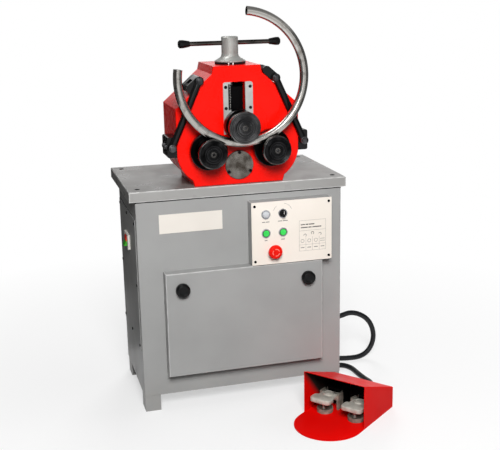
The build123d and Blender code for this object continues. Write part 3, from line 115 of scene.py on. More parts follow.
class Grain(Enum):
    """The way that tool marks run on bare metal: how much of X, Y and Z they follow."""

    EVEN = (1.0, 1.0, 1.0)
    TURNED_Y = (1.0, 0.0, 1.0)
    TURNED_Z = (1.0, 1.0, 0.0)
    DRAWN_X = (0.02, 1.0, 1.0)
    DRAWN_Z = (1.0, 1.0, 0.02)


class Rays(Enum):
    """What a lamp lights: only dull colour, or only gloss."""

    DULL = (True, False)
    GLOSS = (False, True)


class NodeGraph:
    """A tree of shader nodes, with short calls to add and join them."""

    def __init__(self, tree: bpy.types.NodeTree) -> None:
        """Take the tree that gets the nodes."""
        self.tree = tree

    def feed(self, node: bpy.types.Node, feeds: dict[str | int, Feed]) -> None:
        """Join sources to a node's sockets, or set the sockets.

        Args:
            node: the node.
            feeds: a source or a value for each socket, by the socket's name or number.
        """
        for key, source in feeds.items():
            if isinstance(source, Socket):
                self.tree.links.new(source, node.inputs[key])
            else:
                node.inputs[key].default_value = source

    def add(
        self, kind: str, feeds: dict[str | int, Feed] | None = None, **options: str,
    ) -> bpy.types.NodeOutputs:
        """Add a node.

        Args:
            kind: the kind of node.
            feeds: what goes into its sockets.
            options: its own options.

        Returns:
            The node's outputs.
        """
        node = self.tree.nodes.new("ShaderNode" + kind)
        for name, value in options.items():
            setattr(node, name, value)
        self.feed(node, feeds or {})
        return node.outputs

    def reckon(self, operation: str, *numbers: Socket | float) -> Socket:
        """Work out a number from others, by an operation of the math node."""
        return self.add("Math", dict(enumerate(numbers)), operation=operation)["Value"]

    def times(self, first: Socket, second: Socket | float) -> Socket:
        """Multiply two numbers."""
        return self.reckon("MULTIPLY", first, second)

    def span(self, value: Socket, source: Span, target: Span = RISE) -> Socket:
        """Map a number from one range to another, held at the ends."""
        limits = zip(("From Min", "From Max", "To Min", "To Max"), (*source, *target))
        return self.add("MapRange", {"Value": value, **dict(limits)})["Result"]

    def seen_rays(self) -> Socket:
        """Return 1 where the camera, a gloss or a clear piece looks, and 0 for other light.

        Returns:
            The number socket.
        """
        rays = self.add("LightPath")
        seen = self.reckon("MAXIMUM", rays["Is Camera Ray"], rays["Is Glossy Ray"])
        return self.reckon("MAXIMUM", seen, rays["Is Transmission Ray"])


class FinishGraph(NodeGraph):
    """A material's nodes, which read the place on the object."""

    def __init__(self, name: str) -> None:
        """Start a material that holds one shader.

        Args:
            name: the material's name.
        """
        self.material = bpy.data.materials.new(name)
        self.material.use_nodes = True
        super().__init__(self.material.node_tree)
        self.shader = self.tree.nodes["Principled BSDF"]
        self.place = self.add("TexCoord")["Object"]

    def settle(self, **feeds: Feed) -> None:
        """Join or set sockets of the shader, named with underscores for blanks."""
        self.feed(self.shader, {name.replace("_", " "): source for name, source in feeds.items()})

    def axes(self, vector: Socket | None = None) -> bpy.types.NodeOutputs:
        """Return the X, Y and Z of a vector, or of the object's own place."""
        return self.add("SeparateXYZ", {0: vector or self.place})

    def moved(self, offset: Point, scale: Point) -> Socket:
        """Return the place with an offset taken off and a scale put on it."""
        shifted = self.add("VectorMath", {0: self.place, 1: offset}, operation="SUBTRACT")["Vector"]
        return self.add("VectorMath", {0: shifted, 1: scale}, operation="MULTIPLY")["Vector"]

    def turned(self, place: Point, turn: float) -> Socket:
        """Return the place as seen from a point, along axes turned about Z by some degrees."""
        feeds = {"Location": place, "Rotation": (0.0, 0.0, math.radians(turn)), "Vector": self.place}
        return self.add("Mapping", feeds, vector_type="TEXTURE")["Vector"]

    def cloud(self, scale: float, detail: float = 3.0, place: Socket | None = None) -> Socket:
        """Return a soft noise of so many blotches a metre, about 0.3 to 0.7."""
        return self.add("TexNoise", {"Scale": scale, "Detail": detail, "Vector": place or self.place})[0]

    def line_noise(self, value: Socket, scale: float) -> Socket:
        """Return noise along one number in metres, which draws rings or streaks."""
        feeds = {"W": value, "Scale": scale, "Detail": 2.0}
        return self.add("TexNoise", feeds, noise_dimensions="1D")[0]

    def patches(self, noise: Span, source: Span = MID_NOISE, target: Span = RISE) -> Socket:
        """Return a soft noise of a scale and a detail, mapped from one range to another."""
        return self.span(self.cloud(*noise), source, target)

    def ray(self, centre: Point, keep: Point = Grain.TURNED_Y.value) -> Socket:
        """Return the distance from a point, or from an axis where X, Y or Z isn't kept."""
        return self.add("VectorMath", {0: self.moved(centre, keep)}, operation="LENGTH")["Value"]

    def band(self, value: Socket, inside: Span, blur: float) -> Socket:
        """Return 1 where a number is inside a range, fading to 0 outside it.

        Args:
            value: the number.
            inside: the range.
            blur: how far the fade reaches.

        Returns:
            The number socket.
        """
        start, end = inside
        rise = self.span(value, (start - blur, start))
        return self.times(rise, self.span(value, (end, end + blur), FALL))

    def near_edge(self, low: Point, high: Point) -> Socket:
        """Return how far a point on a box's face is from the nearest edge of the box.

        Args:
            low: the box's lowest corner.
            high: its highest corner.

        Returns:
            The distance in metres.
        """
        gaps = []
        for part, start, end in zip(self.axes(), low, high):
            half = (end - start) / 2
            offset = self.reckon("SUBTRACT", part, (start + end) / 2)
            gaps.append(self.span(self.reckon("ABSOLUTE", offset), (0.0, half), (half, 0.0)))
        nearer = self.reckon("MINIMUM", gaps[0], gaps[1])
        farther = self.reckon("MAXIMUM", gaps[0], gaps[1])
        return self.reckon("MAXIMUM", nearer, self.reckon("MINIMUM", farther, gaps[2]))

    def shade(self, factor: Socket, low: Tone | Socket, high: Tone) -> Socket:
        """Mix two colours, or lay the second over a changing one: a factor of 1 gives the second."""
        under = low if isinstance(low, Socket) else linear(low)
        return self.add("Mix", {0: factor, 6: under, 7: linear(high)}, data_type="RGBA")[2]

    def relief(self, height: Socket, strength: float, depth: float) -> None:
        """Give the shader a fine relief of a strength and of a depth in metres."""
        feeds = {"Height": height, "Strength": strength, "Distance": depth}
        self.settle(Normal=self.add("Bump", feeds)["Normal"])


class Finish:
    """What a surface is made of: each kind draws its own nodes, once."""

    made: dict[str, bpy.types.Material] = {}
    name: str

    def draw(self, graph: FinishGraph) -> None:
        """Fill the graph with the finish."""
        raise NotImplementedError

    def cover(self, graph: FinishGraph, colour: Socket) -> Socket:
        """Return the colour with what lies on the surface, which is nothing here."""
        return colour

    def material(self) -> bpy.types.Material:
        """Return the finish as a material, drawn on the first call.

        Returns:
            The material.
        """
        if self.name not in Finish.made:
            graph = FinishGraph(self.name)
            self.draw(graph)
            Finish.made[self.name] = graph.material
        return Finish.made[self.name]


@dataclass(frozen=True)
class Coat(Finish):
    """A surface with drifting colour, uneven gloss and a fine skin."""

    name: str
    colour: Tone
    deep: Tone
    roughness: float
    skin: float = 0.0
    skin_scale: float = 1500.0
    gloss: float = 0.5
    metallic: float = 0.0

    # A noise is given as its scale per metre and its detail, then the ranges that it is mapped from and to.
    drift = ((60.0, 4.0), (0.35, 0.68))
    smear = (130.0, 3.0)
    swing = (-0.05, 0.07)
    skin_detail = 2.0
    skin_depth = 0.0003

    def share(self, graph: FinishGraph) -> Socket:
        """Return how much of the light colour shows over the deep one."""
        return graph.patches(*self.drift)

    def draw(self, graph: FinishGraph) -> None:
        """Draw the colour with what covers it, the gloss and the skin.

        Args:
            graph: the nodes.
        """
        below, above = self.swing
        rough = (self.roughness + below, self.roughness + above)
        graph.settle(
            Base_Color=self.cover(graph, graph.shade(self.share(graph), self.deep, self.colour)),
            Roughness=graph.patches(self.smear, NOISE, rough),
            Specular_IOR_Level=self.gloss, Metallic=self.metallic,
        )
        if self.skin:
            graph.relief(graph.cloud(self.skin_scale, self.skin_detail), self.skin, self.skin_depth)


@dataclass(frozen=True)
class Paint(Coat):
    """Sprayed paint with a little orange peel, shade drift, floor dust and pale painted highlights along its
    edges.
    """

    skin: float = 0.10
    skin_scale: float = 420.0
    dust: float = 0.0
    edges: tuple[Point, Point] | None = None
    edge_highlight: float = 0.75

    drift = ((5.0, 3.0), MID_NOISE)
    smear = (17.0, 4.0)
    swing = (-0.05, 0.06)
    skin_depth = 0.0006
    dust_tone = (176, 170, 160)
    dust_height = 0.16
    dust_patch = ((28.0, 5.0), (0.4, 0.7), (0.2, 1.0))
    edge_highlight_tone = (226, 226, 224)
    edge_highlight_width = 0.0042
    edge_highlight_patch = ((36.0, 5.0), (0.32, 0.6), (0.35, 1.0))

    def cover(self, graph: FinishGraph, colour: Socket) -> Socket:
        """Lay floor dust, and pale painted highlights along the edges, over the paint.

        Args:
            graph: the nodes.
            colour: the colour of the paint.

        Returns:
            The colour with the dust and the painted highlights.
        """
        if self.dust:
            low = graph.span(graph.axes()["Z"], (0.0, self.dust_height), (self.dust, 0.0))
            dusty = graph.times(low, graph.patches(*self.dust_patch))
            colour = graph.shade(dusty, colour, self.dust_tone)
        # Pale patchy lines along the box's edges: painted highlights
        if self.edges:
            line = graph.span(graph.near_edge(*self.edges), (0.0, self.edge_highlight_width), (self.edge_highlight, 0.0))
            painted_highlight = graph.times(line, graph.patches(*self.edge_highlight_patch))
            colour = graph.shade(painted_highlight, colour, self.edge_highlight_tone)
        return colour

    def edge_highlighted(self, node: str) -> Paint:
        """Return the paint with pale painted highlights along the edges of a frame part's box."""
        low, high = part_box(node)
        return replace(self, name=f"{self.name}_{node}", edges=(tuple(low), tuple(high)))


@dataclass(frozen=True)
class TablePaint(Paint):
    """Paint of a work table, whose top face is darker in soft patches: painted shade."""

    top: float = 0.0

    painted_shade_tone = (114, 112, 109)
    top_shade_patch = ((4.5, 4.0), MID_NOISE, (0.50, 0.95))
    film = 0.0008

    def cover(self, graph: FinishGraph, colour: Socket) -> Socket:
        """Darken the top face in soft patches: painted shade.

        Args:
            graph: the nodes.
            colour: the colour of the paint.

        Returns:
            The colour with the painted shade on it.
        """
        above = graph.span(graph.axes()["Z"], (self.top - self.film, self.top - self.film / 2))
        top_shade = graph.times(above, graph.patches(*self.top_shade_patch))
        return super().cover(graph, graph.shade(top_shade, colour, self.painted_shade_tone))


@dataclass(frozen=True)
class HoodPaint(Paint):
    """Red paint of a hood that fades to dark painted shade deep inside it, behind a slanting line under the
    roof.
    """

    place: Point = (0.0, 0.0, 0.0)
    turn: float = 0.0
    # The inside of the hood, in the hood's own axes
    inner_half: float = 0.106
    inner_depth: float = 0.188
    roof_height: float = 0.1399
    roof_slope: float = 0.379
    shade_line_slope: float = 1.17
    shade_line_reach: Span = (0.112, 0.150)

    hood_shade_tone = (46, 38, 35)
    margin = (0.0003, 0.0008)

    def cover(self, graph: FinishGraph, colour: Socket) -> Socket:
        """Let the paint fade into painted shade inside the hood.

        Args:
            graph: the nodes.
            colour: the colour of the paint.

        Returns:
            The colour with the painted shade in it.
        """
        across, along, height = graph.axes(graph.turned(self.place, self.turn))
        roof = graph.reckon("MULTIPLY_ADD", along, self.roof_slope, height)
        # The slanting line behind which the painted shade starts
        shade_line = graph.reckon("MULTIPLY_ADD", along, self.shade_line_slope, height)
        hood_shade = graph.span(shade_line, self.shade_line_reach)
        limits = (
            (graph.reckon("ABSOLUTE", across), self.inner_half),
            (along, self.inner_depth),
            (roof, self.roof_height),
        )
        for value, limit in limits:
            edge = (limit + self.margin[0], limit + self.margin[1])
            hood_shade = graph.times(hood_shade, graph.span(value, edge, FALL))
        return graph.shade(hood_shade, super().cover(graph, colour), self.hood_shade_tone)


@dataclass(frozen=True)
class Plastic(Coat):
    """Moulded plastic or rubber with a fine skin."""

    skin: float = 0.08


@dataclass(frozen=True)
class TwoTone(Plastic):
    """Moulded plastic in two colours that meet at a height: the light colour above, the deep one below."""

    roughness: float = 0.35
    skin: float = 0.05
    height: float = 0.0

    blur = 0.0004

    def share(self, graph: FinishGraph) -> Socket:
        """Return 1 above the height and 0 below it."""
        return graph.span(graph.axes()["Z"], (self.height - self.blur, self.height + self.blur))


@dataclass(frozen=True)
class CastMetal(Coat):
    """Sand cast metal: a grainy skin with blotches and rubbed spots."""

    skin: float = 0.28
    skin_scale: float = 900.0

    drift = ((55.0, 5.0), (0.35, 0.68))
    smear = (90.0, 4.0)
    swing = (-0.1, 0.08)
    skin_detail = 3.0
    skin_depth = 0.0005


@dataclass(frozen=True)
class Ink(Coat):
    """Screen print: flat ink that is a little uneven."""

    roughness: float = 0.5

    drift = ((260.0, 4.0), MID_NOISE)
    smear = (600.0, 3.0)
    swing = (-0.05, 0.1)


@dataclass(frozen=True)
class BareMetal(Finish):
    """Bare metal with the marks that its tool left."""

    name: str
    colour: Tone
    deep: Tone
    roughness: float
    grain: Grain = Grain.EVEN
    centre: Point = (0.0, 0.0, 0.0)
    pitch: float = 1400.0
    mark: float = 0.12
    swing: float = 0.08
    metallic: float = 1.0
    bands: float = 0.0

    mark_depth = 0.0002
    mark_share = (0.55, 1.0)
    band_range = (0.4, 0.6)
    band_share = (0.15, 1.0)
    stain = ((34.0, 4.0), (0.35, 0.7))

    def marks(self, graph: FinishGraph) -> Socket:
        """Return the noise of the tool marks.

        Args:
            graph: the nodes.

        Returns:
            The number socket.
        """
        if self.grain is Grain.EVEN:
            return graph.cloud(self.pitch)
        if self.grain in (Grain.TURNED_Y, Grain.TURNED_Z):
            return graph.line_noise(graph.ray(self.centre, self.grain.value), self.pitch)
        return graph.cloud(self.pitch, 2.0, graph.moved(self.centre, self.grain.value))

    def draw(self, graph: FinishGraph) -> None:
        """Draw tool marks in gloss and relief, and a faint stain in the colour.

        Args:
            graph: the nodes.
        """
        marks = self.marks(graph)
        mixed = graph.times(graph.patches(*self.stain), graph.span(marks, NOISE, self.mark_share))
        if self.bands:
            coarse = replace(self, pitch=self.bands).marks(graph)
            mixed = graph.times(mixed, graph.span(coarse, self.band_range, self.band_share))
        rough = (self.roughness - self.swing, self.roughness + self.swing)
        graph.settle(
            Base_Color=self.cover(graph, graph.shade(mixed, self.deep, self.colour)),
            Roughness=graph.span(marks, NOISE, rough), Metallic=self.metallic,
        )
        graph.relief(marks, self.mark, self.mark_depth)


@dataclass(frozen=True)
class RollSteel(BareMetal):
    """Dark turned roll steel, with painted shade in the groove and the fine rings, and a patchy painted
    highlight along the rim.
    """

    groove: Span = (0.0, 0.0)
    rim: float = 0.05
    rings: tuple[Span, ...] = ()

    painted_shade_tone = (7, 7, 7)
    rim_highlight_tone = (170, 168, 164)
    rim_highlight_share = 0.42
    rim_highlight_patch = ((70.0, 4.0), MID_NOISE, (0.25, 1.0))
    blur = 0.0006
    ring_blur = 0.0003

    def cover(self, graph: FinishGraph, colour: Socket) -> Socket:
        """Darken the groove and the turned rings with painted shade, and lay a painted highlight on the
        front flange's edge.

        Args:
            graph: the nodes.
            colour: the colour of the steel.

        Returns:
            The colour with the painted shade and the painted highlight.
        """
        place = graph.axes()["Y"]
        ray = graph.ray(self.centre)
        shaded_bands = [graph.band(place, self.groove, self.blur)]
        shaded_bands += [graph.band(ray, ring_span, self.ring_blur) for ring_span in self.rings]
        for shade_share in shaded_bands:
            colour = graph.shade(shade_share, colour, self.painted_shade_tone)
        edge = graph.span(ray, (self.rim - self.blur, self.rim), (0.0, self.rim_highlight_share))
        front = graph.span(place, (self.groove[0] - self.blur, self.groove[0]), FALL)
        painted_highlight = graph.patches(*self.rim_highlight_patch)
        return graph.shade(graph.times(graph.times(edge, front), painted_highlight), colour, self.rim_highlight_tone)


@dataclass(frozen=True)
class PipeSteel(Finish):
    """Drawn tube steel, with streaks and brown stains that follow the bend."""

    name: str
    colour: Tone
    deep: Tone
    roughness: float
    bend_radius: float
    tube_radius: float
    centre: Point = (0.0, 0.0, 0.0)

    scale_tone = (92, 80, 68)
    streak_pitch = 900.0
    band_pitch = 120.0
    streak_relief = (0.06, 0.0002)
    swing = (-0.05, 0.06)
    stain = ((42.0, 5.0), (0.52, 0.72), (0.0, 0.6))
    handling = ((75.0, 4.0), NOISE, (-0.03, 0.05))

    def draw(self, graph: FinishGraph) -> None:
        """Draw streaks along the tube from the angle round its own middle line.

        Args:
            graph: the nodes.
        """
        aside = graph.axes(graph.moved(self.centre, Grain.EVEN.value))["Y"]
        out = graph.reckon("SUBTRACT", graph.ray(self.centre), self.bend_radius)
        round_line = graph.times(graph.reckon("ARCTAN2", aside, out), self.tube_radius)
        streaks = graph.line_noise(round_line, self.streak_pitch)
        bands = graph.span(graph.line_noise(round_line, self.band_pitch), MID_NOISE)
        below, above = self.swing
        rough = graph.span(streaks, NOISE, (self.roughness + below, self.roughness + above))
        colour = graph.shade(bands, self.deep, self.colour)
        graph.settle(
            Base_Color=graph.shade(graph.patches(*self.stain), colour, self.scale_tone),
            Roughness=graph.reckon("ADD", rough, graph.patches(*self.handling)), Metallic=1.0,
        )
        graph.relief(streaks, *self.streak_relief)


@dataclass(frozen=True)
class Lens(Finish):
    """A milky clear lens with fine ribs moulded inside it."""

    name: str
    colour: Tone
    deep: Tone
    centre: Point = (0.0, 0.0, 0.0)

    rib_turns = 5200.0
    rib_relief = (0.25, 0.0002)
    haze = ((300.0, 3.0), NOISE, (0.08, 0.2))
    clear_share = 0.2
    light_bend = 1.49

    def draw(self, graph: FinishGraph) -> None:
        """Draw ribs round the lens and a milky tint.

        Args:
            graph: the nodes.
        """
        ribs = graph.reckon("SINE", graph.times(graph.ray(self.centre), self.rib_turns))
        graph.settle(
            Base_Color=graph.shade(graph.span(ribs, (-1.0, 1.0)), self.deep, self.colour),
            Roughness=graph.patches(*self.haze),
            Transmission_Weight=self.clear_share, IOR=self.light_bend,
        )
        graph.relief(ribs, *self.rib_relief)


PALE_GREY = Paint("cabinet_grey", (164, 164, 163), (157, 157, 156), 0.40, skin=0.09, dust=0.25, gloss=0.25)
TABLE_GREY = TablePaint("table_grey", (163, 162, 160), (154, 153, 151), 0.30, skin=0.09, gloss=0.35)
SIGNAL_RED = Paint("signal_red", (251, 20, 8), (242, 16, 6), 0.26, skin=0.06, gloss=0.18)
GUARD_RED = HoodPaint("guard_red", (240, 11, 8), (228, 9, 6), 0.34, skin=0.05, gloss=0.03)
ARM_BLACK = Paint("arm_black", (14, 14, 15), (8, 8, 9), 0.20, skin=0.06, gloss=0.24)
# Near black for painted shade: the slide block in the deep slot, and the painted shadows under the table's
# edge and round the side cover
SHADE_BLACK = Paint("painted_shade_black", (6, 6, 7), (4, 4, 5), 0.50, skin=0.05, gloss=0.05)
SCREW_BLACK = Paint("screw_black", (12, 12, 13), (7, 7, 8), 0.60, skin=0.05, gloss=0.0)
DRIVE_BLUE = Paint("drive_grey_blue", (82, 94, 104), (70, 82, 92), 0.42, skin=0.12)
CREAM_PLATE = Paint(
    "cream_plate", (246, 238, 228), (240, 232, 221), 0.44, skin=0.03, skin_scale=900.0, gloss=0.2,
)
BLANK_PLATE = Paint(
    "blank_plate", (236, 230, 222), (229, 223, 214), 0.40, skin=0.03, skin_scale=900.0, gloss=0.2,
)
CAST_GREY = CastMetal("cast_housing_grey", (112, 114, 114), (92, 94, 95), 0.52, metallic=0.2)
CAST_DULL = CastMetal("cast_support", (156, 151, 140), (112, 107, 98), 0.50, metallic=0.15)
CAST_ALUMINIUM = CastMetal("cast_aluminium", (206, 202, 192), (176, 172, 162), 0.46, metallic=0.15)
ROLL_STEEL = RollSteel(
    "roll_steel", (74, 74, 75), (20, 20, 21), 0.20, Grain.TURNED_Y, mark=0.35, bands=190.0,
)
SHAFT_STEEL = RollSteel(
    "shaft_steel", (84, 84, 86), (26, 26, 27), 0.22, Grain.TURNED_Y, mark=0.3, bands=240.0,
)
CAP_STEEL = BareMetal("drive_cover_steel", (150, 146, 140), (68, 62, 56), 0.30, Grain.TURNED_Y, mark=0.2)
RAIL_STEEL = BareMetal(
    "rail_steel", (200, 201, 199), (178, 179, 177), 0.36, Grain.DRAWN_Z, pitch=900.0, metallic=0.4,
)
HUB_STEEL = BareMetal("hub_zinc", (184, 185, 181), (164, 165, 161), 0.48, Grain.TURNED_Z, metallic=0.55)
BAR_STEEL = BareMetal("bar_steel", (104, 100, 96), (58, 55, 53), 0.17, Grain.DRAWN_X, mark=0.05)
PLAIN_STEEL = BareMetal("plain_steel", (180, 180, 182), (140, 140, 142), 0.32, pitch=700.0)
SCREW_STEEL = BareMetal("screw_steel", (112, 110, 108), (62, 60, 58), 0.26, pitch=900.0)
BLACK_BOLT = BareMetal("black_bolt", (112, 112, 114), (56, 56, 58), 0.20, pitch=900.0)
INNER_STEEL = BareMetal("oiled_steel", (140, 140, 142), (100, 98, 94), 0.30, pitch=600.0)
BLACK_STEEL = BareMetal("black_oxide", (36, 36, 38), (22, 22, 24), 0.36, pitch=900.0)
BEZEL_CHROME = BareMetal("bezel_chrome", (222, 224, 228), (150, 152, 156), 0.14, pitch=900.0)
PIPE_STEEL = PipeSteel(
    "drawn_pipe", (212, 210, 206), (142, 138, 132), 0.19,
    bend_radius=0.1952, tube_radius=0.01345,
)
BLACK_PLASTIC = Plastic("black_plastic", (11, 11, 12), (6, 6, 7), 0.32, skin=0.04, gloss=0.2)
SCALE_BLACK = Plastic("scale_black", (13, 13, 14), (9, 9, 10), 0.42, skin=0.04, gloss=0.2)
GUIDE_RUBBER = Plastic("guide_rubber", (20, 20, 20), (13, 13, 13), 0.5, skin=0.12, gloss=0.25)
GREEN_PLASTIC = Plastic("button_green", (74, 232, 102), (58, 214, 88), 0.30, skin=0.03, gloss=0.3)
RED_PLASTIC = Plastic("stop_red", (244, 30, 16), (232, 22, 12), 0.28, skin=0.03, gloss=0.12)
WHITE_PLASTIC = Plastic("switch_white", (226, 222, 214), (212, 208, 200), 0.42, skin=0.05)
CORD_RUBBER = Plastic(
    "cord_rubber", (20, 23, 26), (13, 15, 17), 0.40, skin=0.1, skin_scale=900.0, gloss=0.4,
)
LAMP_LENS = Lens("lamp_lens", (240, 242, 246), (200, 202, 208))
ROCKER = TwoTone("rocker_red_green", (214, 52, 34), (58, 158, 34))
PLATE_INK = Ink("plate_ink", (112, 109, 105), (92, 89, 86))
FAINT_INK = Ink("faint_ink", (188, 182, 174), (170, 164, 157))
ARROW_INK = Ink("arrow_ink", (255, 176, 162), (248, 146, 132))
WHITE_INK = Ink("scale_ink", (240, 238, 234), (218, 216, 212))


def dress(finish: Finish, *nodes: str) -> None:
    """Put a finish on parts of the frame that keep their own shape.

    Args:
        finish: the finish.
        nodes: the names of the parts.
    """
    for node in nodes:
        for place in frame["nodes"][node].material_slots:
            place.material = finish.material()
        LOG.info("dressed %s in %s", node, finish.name)


def middle(node: str) -> Vector:
    """Return the middle of a frame part's box."""
    low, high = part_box(node)
    return (low + high) / 2


def pivot(joint: str) -> Vector:
    """Return the point that a joint of the frame turns about."""
    return next(Vector(row["pos_m"]) for row in frame["joints"] if row["name"] == joint)


def show(name: str, mesh: Mesh, finish: Finish, body: str, stands_for: str = "") -> None:
    """Turn a mesh into a piece that rides on a body.

    Args:
        name: the piece's name.
        mesh: its shape, freed here.
        finish: its finish.
        body: the body that it moves with.
        stands_for: the frame part that it replaces, if any.
    """
    data = bpy.data.meshes.new(name)
    mesh.to_mesh(data)
    mesh.free()
    data.polygons.foreach_set("use_smooth", [True] * len(data.polygons))
    data.set_sharp_from_angle(angle=SHARP_ANGLE)
    data.materials.append(finish.material())
    piece = bpy.data.objects.new(name, data)
    bpy.context.scene.collection.objects.link(piece)
    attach(piece, body)
    if stands_for:
        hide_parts(stands_for)
    LOG.info("built %s, %d faces, on %s", name, len(data.polygons), body)


def round_edges(mesh: Mesh, edges: Iterable[bmesh.types.BMEdge], width: float, segments: int) -> None:
    """Round some edges of a mesh.

    Args:
        mesh: the mesh.
        edges: the edges.
        width: the width of the rounding.
        segments: how many faces it has.
    """
    bmesh.ops.bevel(
        mesh, geom=list(edges), offset=width, offset_type="OFFSET", segments=segments,
        profile=0.5, affect="EDGES", material=-1, clamp_overlap=True,
    )


def soften(mesh: Mesh, width: float, segments: int, limit: float) -> None:
    """Round every sharp edge of a mesh.

    Args:
        mesh: the mesh.
        width: the width of the rounding.
        segments: how many faces it has.
        limit: the least angle between faces, in degrees, that counts as sharp.
    """
    least = math.radians(limit)
    sharp = [edge for edge in mesh.edges if edge.is_manifold and edge.calc_face_angle() > least]
    round_edges(mesh, sharp, width, segments)


def join(mesh: Mesh, other: Mesh) -> None:
    """Add another mesh to a mesh.

    Args:
        mesh: the mesh that gets it.
        other: the other mesh, freed here.
    """
    data = bpy.data.meshes.new("joined")
    other.to_mesh(data)
    other.free()
    mesh.from_mesh(data)
    bpy.data.meshes.remove(data)


def outline(radius: float, top: float, steps: Profile) -> list[Span]:
    """Return a turned outline from shares of a radius and drops below a top."""
    return [(radius * share, top - drop) for share, drop in steps]


def corner(radius: float, height: float, edge: float, side: float = 1.0) -> list[Span]:
    """Return a rounded corner of a turned outline, from the wall up to the top.

    Args:
        radius: the radius of the wall.
        height: the height of the top.
        edge: the width of the rounding.
        side: 1 where the wall faces outwards, -1 where it faces the axis.

    Returns:
        The corner's three points.
    """
    ease = edge * CORNER_EASE
    return [(radius, height - edge), (radius - side * ease, height - ease), (radius - side * edge, height)]


def vee(radius: float, face: float, sunk: float) -> list[Span]:
    """Return a fine V groove in a turned face, sunk from the face along the axis."""
    half = abs(sunk)
    return [(radius - half, face), (radius, face + sunk), (radius + half, face)]


def spun(mesh: Mesh, profile: Profile, centre: Vector, axis: Vector, steps: int = 64) -> Mesh:
    """Add a turned shape to a mesh.

    Args:
        mesh: the mesh that gets it.
        profile: radius and distance along the axis, point by point.
        centre: where the distances start.
        axis: the axis of turning.
        steps: how many faces go round.

    Returns:
        The same mesh.
    """
    side = axis.orthogonal().normalized()
    points = [mesh.verts.new(centre + side * radius + axis * reach) for radius, reach in profile]
    lines = [mesh.edges.new(pair) for pair in zip(points, points[1:])]
    bmesh.ops.spin(
        mesh, geom=points + lines, cent=centre, axis=axis, angle=math.tau, steps=steps, use_merge=True,
    )
    bmesh.ops.remove_doubles(mesh, verts=mesh.verts, dist=SMALL)
    bmesh.ops.recalc_face_normals(mesh, faces=mesh.faces)
    return mesh


def ring(mesh: Mesh, centre: Vector, axis: Vector, radii: Span, height: float, edge: float) -> Mesh:
    """Add a flat ring with rounded corners, standing on a face.

    Args:
        mesh: the mesh that gets it.
        centre: its middle, on the face that carries it.
        axis: the way that it stands up.
        radii: its inner and outer radius.
        height: how far it stands up.
        edge: the width of its corners.

    Returns:
        The same mesh.
    """
    inner, outer = radii
    rim = [*corner(outer, height, edge), *reversed(corner(inner, height, edge, -1.0))]
    return spun(mesh, [(inner, 0.0), (outer, 0.0), *rim, (inner, 0.0)], centre, axis)


def block(mesh: Mesh, centre: Vector, size: Point, turn: Matrix | None = None) -> Mesh:
    """Add a bar with square corners to a mesh.

    Args:
        mesh: the mesh that gets it.
        centre: its middle.
        size: its three sizes.
        turn: how it is turned, or None.

    Returns:
        The same mesh.
    """
    place = Matrix.Translation(centre) @ (turn or Matrix.Identity(4)) @ Matrix.Diagonal((*size, 1.0))
    bmesh.ops.create_cube(mesh, size=1.0, matrix=place)
    return mesh


def hex_head(mesh: Mesh, seat: Vector, axis: Vector, size: Span) -> Mesh:
    """Add a hexagon head on a thin washer.

    Args:
        mesh: the mesh that gets it.
        seat: its middle, on the face that carries it.
        axis: the way that it stands up.
        size: the radius to its corners, and how far it stands up.

    Returns:
        The same mesh.
    """
    radius, height = size
    washer = height * WASHER_SHARE
    turn = axis.to_track_quat("Z", "Y").to_matrix().to_4x4()
    layers = ((32, radius * WASHER_REACH, 0.0, washer), (6, radius, washer, height))
    for sides, reach, low, high in layers:
        place = Matrix.Translation(seat + axis * (low + high) / 2) @ turn
        made = bmesh.ops.create_cone(
            mesh, cap_ends=True, segments=sides, radius1=reach, radius2=reach, depth=high - low,
            matrix=place,
        )
        top = seat + axis * high
        rim = {edge for vert in made["verts"] for edge in vert.link_edges}
        lid = [edge for edge in rim if all(abs((vert.co - top).dot(axis)) < SMALL for vert in edge.verts)]
        round_edges(mesh, lid, washer / 2, 2)
    return mesh


def round_bar(start: Vector, end: Vector, half: float, depth: float) -> Mesh:
    """Return a flat bar with round ends that faces the front.

    Args:
        start: the middle of its first round end, on its back.
        end: the middle of the other.
        half: half its width.
        depth: its thickness, towards the front.

    Returns:
        The bar.
    """
    mesh = bmesh.new()
    run = end - start
    place = Matrix.Translation(start) @ Matrix.Rotation(QUARTER_TURN, 4, "X")
    circle = bmesh.ops.create_circle(mesh, cap_ends=True, segments=64, radius=half, matrix=place)["verts"]
    far = [vert for vert in circle if (vert.co - start).dot(run) > 0.0]
    bmesh.ops.translate(mesh, verts=far, vec=run)
    made = bmesh.ops.extrude_face_region(mesh, geom=mesh.faces[:])["geom"]
    front = [item for item in made if isinstance(item, bmesh.types.BMVert)]
    bmesh.ops.translate(mesh, verts=front, vec=FRONT * depth)
    bmesh.ops.recalc_face_normals(mesh, faces=mesh.faces)
    return mesh


def arc_bar(mesh: Mesh, centre: Vector, radii: Span, angles: Span, depth: float) -> None:
    """Add a thin flat arc in the plane of the front, seen from the front.

    Args:
        mesh: the mesh that gets it.
        centre: the middle of the arc, on the face that carries it.
        radii: its inner and outer radius.
        angles: where it starts and ends, in degrees from the right, upwards.
        depth: its thickness, towards the front.
    """
    inner, outer = radii
    start, end = (math.radians(angle) for angle in angles)
    ray = UNIT_X * math.cos(start) + UNIT_Z * math.sin(start)
    corners = [
        mesh.verts.new(centre + ray * radius + FRONT * reach)
        for radius, reach in ((inner, 0.0), (outer, 0.0), (outer, depth), (inner, depth))
    ]
    lines = [mesh.edges.new((corners[index], corners[(index + 1) % 4])) for index in range(4)]
    steps = max(2, int(abs(end - start) / ARC_STEP))
    whole = abs(end - start) > math.tau - SMALL
    bmesh.ops.spin(
        mesh, geom=corners + lines, cent=centre, axis=FRONT, angle=end - start, steps=steps, use_merge=whole,
    )
    if not whole:
        bmesh.ops.holes_fill(mesh, edges=[edge for edge in mesh.edges if edge.is_boundary])
    bmesh.ops.recalc_face_normals(mesh, faces=mesh.faces)


